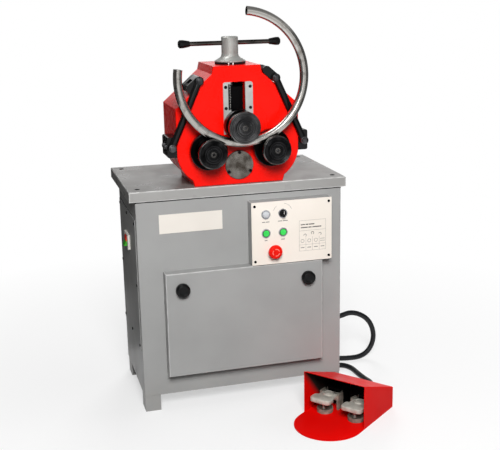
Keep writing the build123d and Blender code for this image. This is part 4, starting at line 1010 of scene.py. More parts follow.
def stage_sheet(name: str, size: Span, place: Matrix, graph: FinishGraph) -> bpy.types.Object:
    """Add a flat sheet to the studio.

    Args:
        name: its name.
        size: its two sizes.
        place: where it stands and how it is turned.
        graph: its finish.

    Returns:
        The new object.
    """
    mesh = bmesh.new()
    shape = place @ Matrix.Diagonal((size[0] / 2, size[1] / 2, 1.0, 1.0))
    bmesh.ops.create_grid(mesh, x_segments=1, y_segments=1, size=1.0, matrix=shape)
    data = bpy.data.meshes.new(name)
    mesh.to_mesh(data)
    mesh.free()
    data.materials.append(graph.material)
    sheet = bpy.data.objects.new(name, data)
    bpy.context.scene.collection.objects.link(sheet)
    return sheet


@dataclass(frozen=True)
class Lamp:
    """A soft square lamp and where it hangs."""

    name: str
    place: Point
    aim: Point
    size: float
    power: float
    rays: Rays

    def hang(self) -> None:
        """Hang the lamp, facing its aim."""
        data = bpy.data.lights.new(self.name, "AREA")
        data.shape = "SQUARE"
        data.size = self.size
        data.energy = self.power
        lamp = bpy.data.objects.new(self.name, data)
        lamp.location = self.place
        lamp.visible_diffuse, lamp.visible_glossy = self.rays.value
        lamp.rotation_euler = (Vector(self.aim) - Vector(self.place)).to_track_quat("-Z", "Y").to_euler()
        bpy.context.scene.collection.objects.link(lamp)


@dataclass(frozen=True)
class Flag:
    """A dim card, where it stands, how far it is turned about Z in degrees, and how light it is."""

    name: str
    place: Point
    size: Span
    turn: float
    light: float

    def stand(self) -> None:
        """Stand the card, which keeps gloss on the sides dark and is seen by gloss alone."""
        graph = FinishGraph(self.name)
        graph.settle(Base_Color=linear((0, 0, 0)), Roughness=1.0, Specular_IOR_Level=0.0)
        graph.settle(Emission_Color=WHITE, Emission_Strength=self.light)
        turn = Matrix.Rotation(math.radians(self.turn), 4, "Z")
        place = Matrix.Translation(self.place) @ turn @ Matrix.Rotation(QUARTER_TURN, 4, "X")
        card = stage_sheet(self.name, self.size, place, graph)
        card.visible_camera = False
        card.visible_diffuse = False
        card.visible_shadow = False


@dataclass
class Studio:
    """The floor, the soft lights and the camera."""

    camera_place: Point = (-0.71167, -2.88732, 1.31709)
    camera_turn: tuple[float, float, float] = (15.2858, 14.5333, -1.1245)
    lens: float = 66.08
    sensor: float = 36.0
    view_reach: float = 60.0
    floor_width: float = 28.0
    floor_tone: Tone = (244, 244, 244)
    bounce_tone: Tone = (118, 118, 118)
    floor_white: Span = (0.55, 1.0)
    floor_fade: Span = (0.5, 1.7)
    sky: float = 0.11
    ceiling: float = 0.30
    ceiling_start: Span = (0.25, 0.60)
    flags: tuple[Flag, ...] = (
        Flag("low_left_flag", (-1.38, 0.34, 0.36), (2.0, 0.70), 0.0, 0.01),
        Flag("left_flag", (-1.25, 1.05, 0.86), (1.95, 1.70), 0.0, 0.01),
        Flag("side_flag", (-1.5, -0.9, 0.98), (2.6, 1.60), 90.0, 0.10),
        Flag("right_flag", (1.35, -0.45, 0.90), (3.5, 1.80), 90.0, 0.14),
    )
    lamps: tuple[Lamp, ...] = (
        Lamp("key_lamp", (-0.65, -3.4, 2.65), (0.0, -0.2, 0.6), 1.3, 166.0, Rays.DULL),
        Lamp("soft_box", (-0.9, -3.2, 2.2), (0.0, -0.2, 0.7), 1.3, 34.0, Rays.GLOSS),
        Lamp("rim_box", (-0.9, 0.3, 3.1), (0.0, -0.2, 0.9), 1.0, 30.0, Rays.GLOSS),
        Lamp("back_lamp", (1.1, 3.2, 2.2), (0.0, 0.0, 0.6), 1.6, 70.0, Rays.DULL),
        Lamp("right_lamp", (3.2, -0.4, 2.0), (0.0, 0.0, 0.5), 1.6, 26.0, Rays.DULL),
    )

    def camera(self) -> None:
        """Set the camera where the photograph was taken from."""
        yaw, pitch, roll = (math.radians(angle) for angle in self.camera_turn)
        ahead = Vector((math.sin(yaw) * math.cos(pitch), math.cos(yaw) * math.cos(pitch), -math.sin(pitch)))
        right = Vector((math.cos(yaw), -math.sin(yaw), 0.0))
        rise = right.cross(ahead)
        across = right * math.cos(roll) + rise * math.sin(roll)
        upward = rise * math.cos(roll) - right * math.sin(roll)
        data = bpy.data.cameras.new("photo_camera")
        data.sensor_fit = "HORIZONTAL"
        data.sensor_width = self.sensor
        data.lens = self.lens
        data.clip_end = self.view_reach
        camera = bpy.data.objects.new("photo_camera", data)
        turn = Matrix((across, upward, -ahead)).transposed().to_4x4()
        camera.matrix_world = Matrix.Translation(self.camera_place) @ turn
        bpy.context.scene.collection.objects.link(camera)
        bpy.context.scene.camera = camera

    def floor(self) -> None:
        """Lay a plain pale floor that takes the machine's shadow and turns white further out."""
        graph = FinishGraph("studio_floor")
        seen = graph.seen_rays()
        graph.settle(Base_Color=graph.shade(seen, self.bounce_tone, self.floor_tone))
        graph.settle(Roughness=0.9, Specular_IOR_Level=0.0)
        away = graph.ray((0.0, 0.0, 0.0), Grain.EVEN.value)
        white = graph.times(graph.span(away, self.floor_fade, self.floor_white), seen)
        layers = {0: white, 1: graph.shader.outputs[0], 2: graph.add("Emission")[0]}
        graph.feed(graph.tree.nodes["Material Output"], {"Surface": graph.add("MixShader", layers)[0]})
        stage_sheet("studio_floor", (self.floor_width, self.floor_width), Matrix.Identity(4), graph)

    def sky_light(self) -> None:
        """Give the room an even grey light, a white backdrop and a dim ceiling."""
        world = bpy.data.worlds.new("studio")
        world.use_nodes = True
        bpy.context.scene.world = world
        graph = NodeGraph(world.node_tree)
        room = graph.tree.nodes["Background"]
        graph.feed(room, {"Color": WHITE, "Strength": self.sky})
        height = graph.add("SeparateXYZ", {0: graph.add("TexCoord")["Generated"]})["Z"]
        strength = graph.span(height, self.ceiling_start, (1.0, self.ceiling))
        backdrop = graph.add("Background", {"Color": WHITE, "Strength": strength})[0]
        choice = graph.add("MixShader", {0: graph.seen_rays(), 1: room.outputs[0], 2: backdrop})[0]
        graph.feed(graph.tree.nodes["World Output"], {"Surface": choice})

    def build(self) -> None:
        """Set up the whole studio."""
        self.camera()
        self.floor()
        for flag in self.flags:
            flag.stand()
        self.sky_light()
        for lamp in self.lamps:
            lamp.hang()
        bpy.context.scene.view_settings.view_transform = "Standard"
        LOG.info("set up the studio")


@dataclass
class PedalCord:
    """The black cord from the cabinet's right side to the foot switch."""

    diameter: float = 0.018
    length: float = 1.079
    route: tuple[Point, ...] = (
        (0.3665, 0.024, 0.165),
        (0.402, 0.024, 0.165),
        (0.460, 0.024, 0.182),
        (0.526, 0.022, 0.144),
        (0.546, 0.018, 0.070),
        (0.508, 0.012, 0.009),
        (0.422, 0.006, 0.009),
        (0.293, 0.070, 0.009),
        (0.227, 0.009, 0.009),
        (0.268, -0.058, 0.009),
        (0.347, -0.032, 0.009),
        (0.417, -0.048, 0.009),
        (0.42283, -0.16182, 0.009),
        (0.43183, -0.25182, 0.018),
        (0.38069, -0.29354, 0.018),
    )

    def build(self) -> None:
        """Lay the cord on its route as one smooth line."""
        data = bpy.data.curves.new("pedal_cord", "CURVE")
        data.dimensions = "3D"
        data.bevel_depth = self.diameter / 2
        data.bevel_resolution = 6
        data.resolution_u = 20
        data.use_fill_caps = True
        line = data.splines.new("NURBS")
        line.points.add(len(self.route) - 1)
        for point, place in zip(line.points, self.route):
            point.co = (*place, 1.0)
        line.order_u = 3
        line.use_endpoint_u = True
        data.materials.append(CORD_RUBBER.material())
        cord = bpy.data.objects.new("pedal_cord", data)
        bpy.context.scene.collection.objects.link(cord)
        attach(cord, "frame")
        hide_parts("pedal_cable")
        LOG.info("laid pedal_cord")


@dataclass
class Cabinet:
    """The sheet metal cabinet, its table, covers and switch."""

    # Painted shadow lines under the table's edge and round the side cover
    shadow_line_height: float = 0.0022
    shadow_line_thickness: float = 0.0004
    shadow_width: float = 0.0022
    sink_inset: Span = (0.032, 0.040)
    sink_radii: Span = (0.0030, 0.0078)
    sink_height: float = 0.0003

    def shadow_line(self) -> None:
        """Run a thin dark strip along the front of the cabinet, under the table's edge: a painted shadow."""
        low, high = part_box("cabinet_shell")
        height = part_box("table_top")[0].z - self.shadow_line_height / 2
        size = (high.x - low.x, self.shadow_line_thickness, self.shadow_line_height)
        mesh = block(bmesh.new(), Vector((0.0, low.y, height)), size)
        show("table_shadow_line", mesh, SHADE_BLACK, "frame")

    def cover_shadow(self) -> None:
        """Run thin dark strips round the access plate on the left side: a painted shadow."""
        low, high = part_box("side_cover")
        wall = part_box("cabinet_shell")[0].x
        width, thick = self.shadow_width, self.shadow_line_thickness
        mesh = bmesh.new()
        for z in (low.z - width / 2, high.z + width / 2):
            size = (thick, high.y - low.y + 2 * width, width)
            block(mesh, Vector((wall, (low.y + high.y) / 2, z)), size)
        for y in (low.y - width / 2, high.y + width / 2):
            block(mesh, Vector((wall, y, (low.z + high.z) / 2)), (thick, width, high.z - low.z))
        show("side_cover_shadow", mesh, SHADE_BLACK, "frame")

    def screw_sinks(self) -> None:
        """Ring the four screws in the table with their dark countersinks."""
        low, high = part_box("table_top")
        inset_x, inset_y = self.sink_inset
        tall = self.sink_height
        mesh = bmesh.new()
        for x in (low.x + inset_x, high.x - inset_x):
            for y in (low.y + inset_y, high.y - inset_y):
                ring(mesh, Vector((x, y, high.z)), UNIT_Z, self.sink_radii, tall, tall / 2)
        show("table_screw_sinks", mesh, SCREW_BLACK, "frame")

    def build(self) -> None:
        """Dress the sheet metal and the small parts on it."""
        self.shadow_line()
        self.cover_shadow()
        self.screw_sinks()
        dress(PALE_GREY, "cabinet_shell", "cabinet_back_panel", "cabinet_base", "side_cover")
        # Painted highlights along the edges of the control box, the door and the table
        for node in ("control_box", "access_door"):
            dress(PALE_GREY.edge_highlighted(node), node)
        # The table's top face is darker: painted shade
        table = replace(TABLE_GREY, top=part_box("table_top")[1].z, edge_highlight=1.0)
        dress(table.edge_highlighted("table_top"), "table_top")
        dress(SCREW_BLACK, "panel_screws")
        dress(PLAIN_STEEL, "door_hinge")
        dress(BLANK_PLATE, "nameplate")
        dress(WHITE_PLASTIC, "main_switch_body", "switchgear")
        dress(replace(ROCKER, height=middle("main_switch_rocker").z), "main_switch_rocker")
        dress(BLACK_PLASTIC, "cable_glands")


@dataclass
class ControlPanel:
    """The push buttons, lamp, selector and printed chart on the control plate."""

    # Bezels, collars and the stems of the fittings
    bezel_radius: float = 0.0145
    bezel_height: float = 0.004
    bezel_edge: float = 0.0012
    bore_radius: float = 0.0112
    collar_gap: float = 0.0002
    collar_lip: float = 0.0004
    collar_proud: float = 0.0006
    collar_edge: float = 0.0005
    stem_depth: float = 0.008
    # Push buttons: outlines are shares of a radius and drops below the top
    cap_radius: float = 0.0098
    cap_proud: float = 0.006
    cap_outline: Profile = (
        (0.0, 0.0005), (0.5, 0.0003), (0.78, 0.0), (0.9, 0.0002), (0.97, 0.0007), (1.0, 0.0015),
    )
    # Emergency stop
    mushroom_outline: Profile = (
        (0.0, 0.0), (0.5, 0.0001), (0.60, 0.0003), (0.63, 0.0011), (0.67, 0.0011), (0.70, 0.0004),
        (0.82, 0.0011), (0.92, 0.0025), (0.98, 0.0046), (1.0, 0.0068), (1.0, 0.0098), (0.96, 0.0113),
        (0.75, 0.0131),
    )
    mushroom_stem: Span = (0.0141, 0.0340)
    stem_gap: float = 0.0004
    arrow_starts: tuple[float, ...] = (20.0, 140.0, 260.0)
    arrow_sweep: float = 85.0
    arrow_shares: Span = (0.44, 0.52)
    arrow_depth: float = 0.0003
    arrow_sunk: float = 0.0002
    # Selector and lamp
    foot_outline: Profile = ((0.0, 0.0), (0.86, 0.0), (0.96, 0.0004), (1.0, 0.0014))
    grip_width: float = 0.0078
    grip_share: float = 1.82
    grip_sunk: float = 0.002
    grip_edge: float = 0.0012
    pointer: Span = (0.0016, 0.0003)
    pointer_share: float = 0.8
    lens_gap: float = 0.0002
    # Print: places in the chart are shares of its width and height
    print_depth: float = 0.00012
    line_width: float = 0.0010
    chart_size: Span = (0.0893, 0.100)
    chart_middle: Span = (0.0677, -0.018)
    chart_rules: tuple[float, ...] = (0.33, 0.79)
    chart_columns: tuple[float, ...] = (0.25, 0.5, 0.75)
    column_top: float = 0.55
    headings: tuple[tuple[float, Point], ...] = ((0.12, (0.16, 0.10, 0.20)), (0.215, (0.26, 0.12, 0.34)))
    word_start: float = 0.06
    word_gap: float = 0.025
    word_height: float = 0.034
    bends: tuple[Point, ...] = ((0.22, 0.49, 250.0), (0.5, 0.43, 300.0), (0.78, 0.48, 220.0))
    bend_start: float = -60.0
    bend_radius: float = 0.0034
    bend_weight: float = 1.6
    tube_signs: tuple[float, ...] = (0.125, 0.375, 0.625)
    tube_height: float = 0.67
    tube_radius: float = 0.0058
    bar_sign: float = 0.875
    bar_half: float = 0.09
    bar_heights: tuple[Span, ...] = ((0.63, 0.642), (0.70, 0.712))
    note_half: float = 0.07
    note_heights: Span = (0.88, 0.902)
    # Marks round the selector and under the fittings
    arc_radius: float = 0.032
    arc_weight: float = 0.8
    arcs: tuple[Span, ...] = ((131.0, 160.0), (22.0, 82.0))
    captions: tuple[tuple[str, float, tuple[float, ...]], ...] = (
        ("pilot_lamp", 0.0245, (0.010, 0.012)), ("selector_knob", 0.0245, (0.014, 0.016)),
        ("left_button", 0.0235, (0.009,)), ("right_button", 0.0235, (0.012,)),
    )
    caption_gap: float = 0.002
    caption_height: float = 0.0022

    def build(self) -> None:
        """Build the fittings and the print of the plate."""
        dress(CREAM_PLATE, "control_plate")
        self.bezels()
        self.push_button("left_button")
        self.push_button("right_button")
        self.stop_button()
        self.selector()
        self.lamp()
        self.chart()
        self.marks()

    def face(self, x: float = 0.0, z: float = 0.0) -> Vector:
        """Return a point on the front of the plate, from the plate's middle."""
        low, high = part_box("control_plate")
        return Vector(((low.x + high.x) / 2 + x, low.y, (low.z + high.z) / 2 + z))

    def seat(self, node: str) -> Vector:
        """Return the point of the plate's front where a fitting sits."""
        place = middle(node)
        return Vector((place.x, self.face().y, place.z))

    def stem(self, radius: float) -> list[Span]:
        """Return the end of a fitting's outline: its stem, which reaches behind the plate."""
        return [(radius, -self.stem_depth), (0.0, -self.stem_depth)]

    def bezels(self) -> None:
        """Turn the bright rings round the fittings and the dark collars of the push buttons."""
        rings = bmesh.new()
        radii = (self.bore_radius, self.bezel_radius)
        for node in ("pilot_lamp", "selector_knob", "left_button", "right_button", "emergency_stop"):
            ring(rings, self.seat(node), FRONT, radii, self.bezel_height, self.bezel_edge)
        show("fitting_bezels", rings, BEZEL_CHROME, "frame", "button_bezels")
        collars = bmesh.new()
        radii = (self.cap_radius + self.collar_gap, self.bore_radius + self.collar_lip)
        for node in ("left_button", "right_button"):
            tall = self.bezel_height + self.collar_proud
            ring(collars, self.seat(node), FRONT, radii, tall, self.collar_edge)
        show("button_collars", collars, BLACK_PLASTIC, "frame")

    def push_button(self, node: str) -> None:
        """Turn one green cap with a shallow dish.

        Args:
            node: the frame part that it replaces.
        """
        profile = [*outline(self.cap_radius, self.cap_proud, self.cap_outline), *self.stem(self.cap_radius)]
        mesh = spun(bmesh.new(), profile, self.seat(node), FRONT)
        show(node + "_cap", mesh, GREEN_PLASTIC, node + "_unit", node)

    def stop_button(self) -> None:
        """Turn the red mushroom with a ring round its crown, and print three arcs on it."""
        low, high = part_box("emergency_stop")
        place = middle("emergency_stop")
        radius = (high.x - low.x) / 2
        crown = Vector((place.x, low.y, place.z))
        neck = self.bore_radius - self.stem_gap
        start, end = self.mushroom_stem
        stem = [(neck, -start), (neck, -end), (0.0, -end)]
        profile = [*outline(radius, 0.0, self.mushroom_outline), *stem]
        mesh = spun(bmesh.new(), profile, crown, FRONT, steps=96)
        show("stop_mushroom", mesh, RED_PLASTIC, "emergency_stop_unit", "emergency_stop")
        arrows = bmesh.new()
        radii = (radius * self.arrow_shares[0], radius * self.arrow_shares[1])
        for angle in self.arrow_starts:
            sweep = (angle, angle + self.arrow_sweep)
            arc_bar(arrows, crown + UNIT_Y * self.arrow_sunk, radii, sweep, self.arrow_depth)
        show("stop_arrows", arrows, ARROW_INK, "emergency_stop_unit")

    def selector(self) -> None:
        """Build the selector: a turned foot, a grip bar and its pale pointer line."""
        seat = self.seat("selector_knob")
        low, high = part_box("selector_knob")
        radius = (high.x - low.x) / 2
        reach = seat.y - low.y
        foot = self.cap_proud
        grip = (self.grip_width, reach - foot + self.grip_sunk, radius * self.grip_share)
        mesh = block(bmesh.new(), seat + FRONT * (foot - self.grip_sunk + grip[1] / 2), grip)
        round_edges(mesh, mesh.edges[:], self.grip_edge, 3)
        spun(mesh, [*outline(radius, foot, self.foot_outline), *self.stem(radius)], seat, FRONT)
        show("selector_grip", mesh, BLACK_PLASTIC, "selector_unit", "selector_knob")
        centre = seat + FRONT * reach + UNIT_Z * radius * (self.pointer_share / 2)
        line = block(bmesh.new(), centre, (*self.pointer, radius * self.pointer_share))
        show("selector_pointer", line, WHITE_INK, "selector_unit")

    def lamp(self) -> None:
        """Turn the pilot lamp's domed lens."""
        seat = self.seat("pilot_lamp")
        radius = self.bore_radius - self.lens_gap
        low = self.bezel_height
        rise = seat.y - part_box("pilot_lamp")[0].y - low
        angles = [math.radians(angle) for angle in range(0, 91, 10)]
        dome = [(radius * math.sin(angle), low + rise * math.cos(angle)) for angle in angles]
        mesh = spun(bmesh.new(), [*dome, *self.stem(radius)], seat, FRONT)
        finish = replace(LAMP_LENS, centre=tuple(seat))
        show("lamp_lens_dome", mesh, finish, "frame", "pilot_lamp")

    def spot(self, across: float, down: float) -> Vector:
        """Return a point of the plate by its shares of the chart, from the chart's upper left corner.

        Args:
            across: the share of the chart's width.
            down: the share of its height.

        Returns:
            The point.
        """
        width, height = self.chart_size
        left = self.chart_middle[0] - width / 2
        top = self.chart_middle[1] + height / 2
        return self.face(left + width * across, top - height * down)

    def stroke(self, mesh: Mesh, start: Span, end: Span) -> None:
        """Print one bar of the chart.

        Args:
            mesh: the print.
            start: its left and upper corner, as shares of the chart.
            end: its right and lower corner, the same way.
        """
        width, height = self.chart_size
        centre = self.spot((start[0] + end[0]) / 2, (start[1] + end[1]) / 2) + FRONT * self.print_depth / 2
        block(mesh, centre, (width * (end[0] - start[0]), self.print_depth, height * (end[1] - start[1])))

    def chart(self) -> None:
        """Print a plain chart: a frame, two headings, three signs and four columns of shapes."""
        thin, tall = self.line_width / self.chart_size[0], self.line_width / self.chart_size[1]
        faint = bmesh.new()
        for height in (0.0, 1.0 - tall):
            self.stroke(faint, (0.0, height), (1.0, height + tall))
        for across in (0.0, 1.0 - thin):
            self.stroke(faint, (across, tall), (across + thin, 1.0 - tall))
        for height in self.chart_rules:
            self.stroke(faint, (thin, height), (1.0 - thin, height + tall))
        for across in self.chart_columns:
            self.stroke(faint, (across - thin / 2, self.column_top), (across + thin / 2, 1.0 - tall))
        show("chart_lines", faint, FAINT_INK, "frame")
        signs = bmesh.new()
        for height, words in self.headings:
            along = self.word_start
            for word in words:
                self.stroke(signs, (along, height), (along + word, height + self.word_height))
                along += word + self.word_gap
        self.signs(signs)
        show("chart_print", signs, PLATE_INK, "frame")

    def signs(self, mesh: Mesh) -> None:
        """Print the chart's small shapes: bent tubes above, sections and short captions below.

        Args:
            mesh: the print.
        """
        radii = (self.bend_radius, self.bend_radius + self.line_width * self.bend_weight)
        for across, down, sweep in self.bends:
            angles = (self.bend_start, sweep + self.bend_start)
            arc_bar(mesh, self.spot(across, down), radii, angles, self.print_depth)
        radii = (self.tube_radius - self.line_width, self.tube_radius)
        for across in self.tube_signs:
            arc_bar(mesh, self.spot(across, self.tube_height), radii, (0.0, 360.0), self.print_depth)
            self.note(mesh, across)
        for upper, lower in self.bar_heights:
            self.stroke(mesh, (self.bar_sign - self.bar_half, upper), (self.bar_sign + self.bar_half, lower))
        self.note(mesh, self.bar_sign)

    def note(self, mesh: Mesh, across: float) -> None:
        """Print the short caption of one of the chart's columns."""
        upper, lower = self.note_heights
        self.stroke(mesh, (across - self.note_half, upper), (across + self.note_half, lower))

    def marks(self) -> None:
        """Print the selector's arcs and the short captions under the fittings."""
        mesh = bmesh.new()
        radii = (self.arc_radius - self.line_width * self.arc_weight, self.arc_radius)
        for angles in self.arcs:
            arc_bar(mesh, self.seat("selector_knob"), radii, angles, self.print_depth)
        for node, drop, words in self.captions:
            place = self.seat(node) + FRONT * self.print_depth / 2 - UNIT_Z * drop
            along = -(sum(words) + self.caption_gap * (len(words) - 1)) / 2
            for word in words:
                size = (word, self.print_depth, self.caption_height)
                block(mesh, place + UNIT_X * (along + word / 2), size)
                along += word + self.caption_gap
        show("plate_marks", mesh, PLATE_INK, "frame")


@dataclass
class DoorKnobs:
    """The two black turn knobs of the access door."""

    radius: float = 0.0223
    length: float = 0.0197
    waist: float = 0.0176
    cap_outline: Profile = (
        (0.0, -0.0008), (0.30, -0.0007), (0.42, -0.0002), (0.48, -0.0003), (0.54, -0.0014), (0.62, -0.0018),
        (0.76, -0.0014), (0.86, -0.0002), (0.95, 0.0020), (1.0, 0.0050), (1.0, 0.0148),
    )

    def build(self) -> None:
        """Dress the knobs and turn a rounded cap over each."""
        dress(BLACK_PLASTIC, "left_door_knob", "right_door_knob")
        foot = [(self.waist, -self.length), (0.0, -self.length)]
        profile = [*outline(self.radius, 0.0, self.cap_outline), *foot]
        for side in Side:
            low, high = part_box(side.part("door_knob"))
            crown = Vector(((low.x + high.x) / 2, low.y, high.z - (high.x - low.x) / 2))
            mesh = spun(bmesh.new(), profile, crown, FRONT, steps=96)
            show(side.part("knob_cap"), mesh, BLACK_PLASTIC, side.part("knob_unit"))


@dataclass
class RollSet:
    """The three grooved rolls and the pipe between them."""

    # A roll's outline
    front_y: float = -0.254
    back_y: float = -0.178
    step_y: float = -0.200
    groove_y: float = -0.224
    groove_radius: float = 0.01375
    groove_half_steps: int = 6
    root_radius: float = 0.034
    bore: float = 0.0201
    sink_radius: float = 0.0271
    sink_depth: float = 0.003
    chamfer: float = 0.0025
    step_share: float = 0.6
    edge_width: float = 0.0005
    edge_angle: float = 28.0
    line_depth: float = 0.0009
    face_lines: tuple[float, ...] = (0.25, 0.5, 0.75)
    # Front and rear flange of the rolls
    lower_flanges: Span = (0.045, 0.058)
    upper_flanges: Span = (0.049, 0.049)
    upper_tones: tuple[Tone, Tone] = ((118, 118, 119), (50, 50, 51))
    # The end of a shaft
    washer_radius: float = 0.0274
    washer_thickness: float = 0.0016
    washer_edges: Span = (0.0005, 0.0008)
    washer_sunk: float = 0.0018
    washer_rings: tuple[float, ...] = (0.0135, 0.0180, 0.0225)
    shade_rings: tuple[Span, ...] = ((0.0089, 0.0104), (0.0218, 0.0234))
    ring_depth: float = 0.0010
    screw_radii: Span = (0.0044, 0.0088)
    screw_gap: float = 0.0006
    screw_height: float = 0.0020
    screw_edge: float = 0.0008

    def groove(self, front: float) -> list[Span]:
        """Return the outline of the groove that the pipe runs in.

        Args:
            front: the radius of the flange in front of it.

        Returns:
            The outline from the front flange to the rear one, radius and place along Y.
        """
        centre = self.root_radius + self.groove_radius
        opening = math.acos((centre - min(front, centre)) / self.groove_radius)
        arc = []
        for step in range(2 * self.groove_half_steps + 1):
            angle = opening * (1 - step / self.groove_half_steps)
            radius = centre - self.groove_radius * math.cos(angle)
            arc.append((radius, self.groove_y - self.groove_radius * math.sin(angle)))
        if front > centre:
            arc.insert(0, (front, self.groove_y - self.groove_radius))
            arc.append((front, self.groove_y + self.groove_radius))
        return arc

    def profile(self, front: float, rear: float) -> list[Span]:
        """Return a roll's outline, radius and place along Y.

        Args:
            front: the radius of the flange in front of the groove.
            rear: the radius of the flange behind it.

        Returns:
            The outline from the bore at the front, round to the bore again.
        """
        edge, deep, sink = self.chamfer, self.line_depth, self.sink_radius
        seat = self.front_y + self.sink_depth
        lines = []
        for share in self.face_lines:
            lines += vee(sink + (front - edge - sink) * share, self.front_y, deep)
        return [
            (self.bore, seat), (sink, seat), (sink, self.front_y + deep), (sink + deep, self.front_y),
            *lines,
            (front - edge, self.front_y), (front, self.front_y + edge),
            *self.groove(front),
            (front, self.step_y - edge), (front - edge * self.step_share, self.step_y),
            (rear - edge, self.step_y), (rear, self.step_y + edge),
            (rear, self.back_y - edge), (rear - edge, self.back_y), (self.bore, self.back_y),
            (self.bore, seat),
        ]

    def build(self) -> None:
        """Turn the rolls and dress what holds them."""
        lower_tones = (SHAFT_STEEL.colour, SHAFT_STEEL.deep)
        upper = replace(ROLL_STEEL, colour=self.upper_tones[0], deep=self.upper_tones[1])
        rolls = (
            ("left", self.lower_flanges, ROLL_STEEL, lower_tones),
            ("right", self.lower_flanges, ROLL_STEEL, lower_tones),
            ("upper", self.upper_flanges, upper, self.upper_tones),
        )
        mouth = self.groove_y - self.groove_radius
        for name, (front, rear), steel, tones in rolls:
            node, body = name + "_roll", name + "_roll_unit"
            place = middle(node)
            centre = Vector((place.x, 0.0, place.z))
            mesh = spun(bmesh.new(), self.profile(front, rear), centre, UNIT_Y, steps=128)
            soften(mesh, self.edge_width, 2, self.edge_angle)
            # Painted shade in the groove, and a painted highlight along the front flange's rim
            finish = replace(
                steel, name=node + "_steel", centre=tuple(centre), groove=(mouth, self.step_y),
                rim=front - self.chamfer,
            )
            show("turned_" + node, mesh, finish, body, node)
            self.shaft_end(name + "_shaft", body, centre, tones)
        dress(INNER_STEEL, "left_gear", "right_gear", "pinion_shaft", "worm_shaft", "shaft_bearings")
        dress(replace(PIPE_STEEL, centre=tuple(pivot("pipe_feed"))), "bent_pipe")

    def shaft_end(self, node: str, body: str, centre: Vector, tones: tuple[Tone, Tone]) -> None:
        """Dress a shaft and turn the grooved face of its end washer and its screw's rim.

        Args:
            node: the shaft.
            body: the body that it turns with.
            centre: the middle of the roll, on the shaft's axis.
            tones: its light and deep colour.
        """
        # Painted shade in the washer's fine grooves and round its screw
        steel = replace(
            SHAFT_STEEL, name=node + "_steel", centre=tuple(centre), colour=tones[0], deep=tones[1],
            rings=self.shade_rings,
        )
        dress(steel, node)
        end = Vector((centre.x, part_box(node)[0].y, centre.z))
        thick, back = self.washer_thickness, -self.washer_sunk
        inner, outer = self.screw_radii[1] + self.screw_gap, self.washer_radius
        inner_edge, outer_edge = self.washer_edges
        profile = [(inner, 0.0), (inner, thick - inner_edge), (inner + inner_edge, thick)]
        for radius in self.washer_rings:
            profile += vee(radius, thick, -self.ring_depth)
        profile += [(outer - outer_edge, thick), (outer, thick - outer_edge)]
        profile += [(outer, back), (inner, back), (inner, 0.0)]
        washer = spun(bmesh.new(), profile, end, FRONT, steps=96)
        show(node + "_washer", washer, steel, body)
        rim = ring(bmesh.new(), end, FRONT, self.screw_radii, self.screw_height, self.screw_edge)
        show(node + "_screw", rim, SCREW_STEEL, body)


@dataclass
class BendingHead:
    """The red housing with its rails, scales and T-handle."""

    tick_pitch: float = 0.005
    tick_width: float = 0.0007
    tick_lengths: Span = (0.0024, 0.0038)
    tick_depth: float = 0.0002
    tick_inset: float = 0.0006
    slot_half: float = 0.023
    ruler_thickness: float = 0.0008
    ruler_margin: float = 0.0055
    dial_angles: Span = (-19.4, -3.7)
    dial_tick: Point = (0.0030, 0.0006, 0.0058)
    dial_drop: float = 0.0035

    def build(self) -> None:
        """Dress the housing and everything fixed to it, and mark the scales."""
        dress(SIGNAL_RED, "head_housing", "head_rear_cover")
        dress(replace(CAP_STEEL, centre=tuple(middle("gear_cover"))), "gear_cover")
        dress(BLACK_STEEL, "socket_screws")
        dress(RAIL_STEEL, "guide_rails")
        dress(SCALE_BLACK, "position_scales")
        # The slide block is near black: painted shade in the deep slot
        dress(SHADE_BLACK, "slide_block")
        dress(PLAIN_STEEL, "press_screw")
        dress(replace(HUB_STEEL, centre=tuple(middle("handle_hub"))), "handle_hub")
        dress(BAR_STEEL, "tommy_bar")
        dress(BLACK_PLASTIC, "bar_end_caps")
        dress(CAST_GREY, "gearbox_housing")
        dress(DRIVE_BLUE, "motor")
        self.ruler_ticks()
        self.dial_ticks()

    def ruler_ticks(self) -> None:
        """Mark the ruler beside the slot, with a longer tick each 10 mm."""
        rails_low, rails_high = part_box("guide_rails")
        right = rails_low.x + (rails_high.x - rails_low.x) / 2 - self.slot_half - self.tick_inset
        front = rails_low.y - self.ruler_thickness - self.tick_depth / 2
        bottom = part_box("position_scales")[0].z + self.tick_pitch / 2
        top = rails_high.z - self.ruler_margin
        mesh = bmesh.new()
        for index in range(int((top - bottom) / self.tick_pitch) + 1):
            length = self.tick_lengths[index % 2 == 0]
            centre = Vector((right - length / 2, front, bottom + index * self.tick_pitch))
            block(mesh, centre, (length, self.tick_depth, self.tick_width))
        show("ruler_ticks", mesh, WHITE_INK, "frame")

    def dial_ticks(self) -> None:
        """Mark the dial ring under the handle with its two index lines."""
        low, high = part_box("handle_hub")
        hub = middle("handle_hub")
        radius = (high.x - low.x) / 2
        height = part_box("position_scales")[1].z - self.dial_drop
        mesh = bmesh.new()
        for angle in self.dial_angles:
            turn = Matrix.Rotation(math.radians(angle), 4, "Z")
            block(mesh, Vector((hub.x, hub.y, height)) + turn @ FRONT * radius, self.dial_tick, turn)
        show("dial_ticks", mesh, WHITE_INK, "frame")


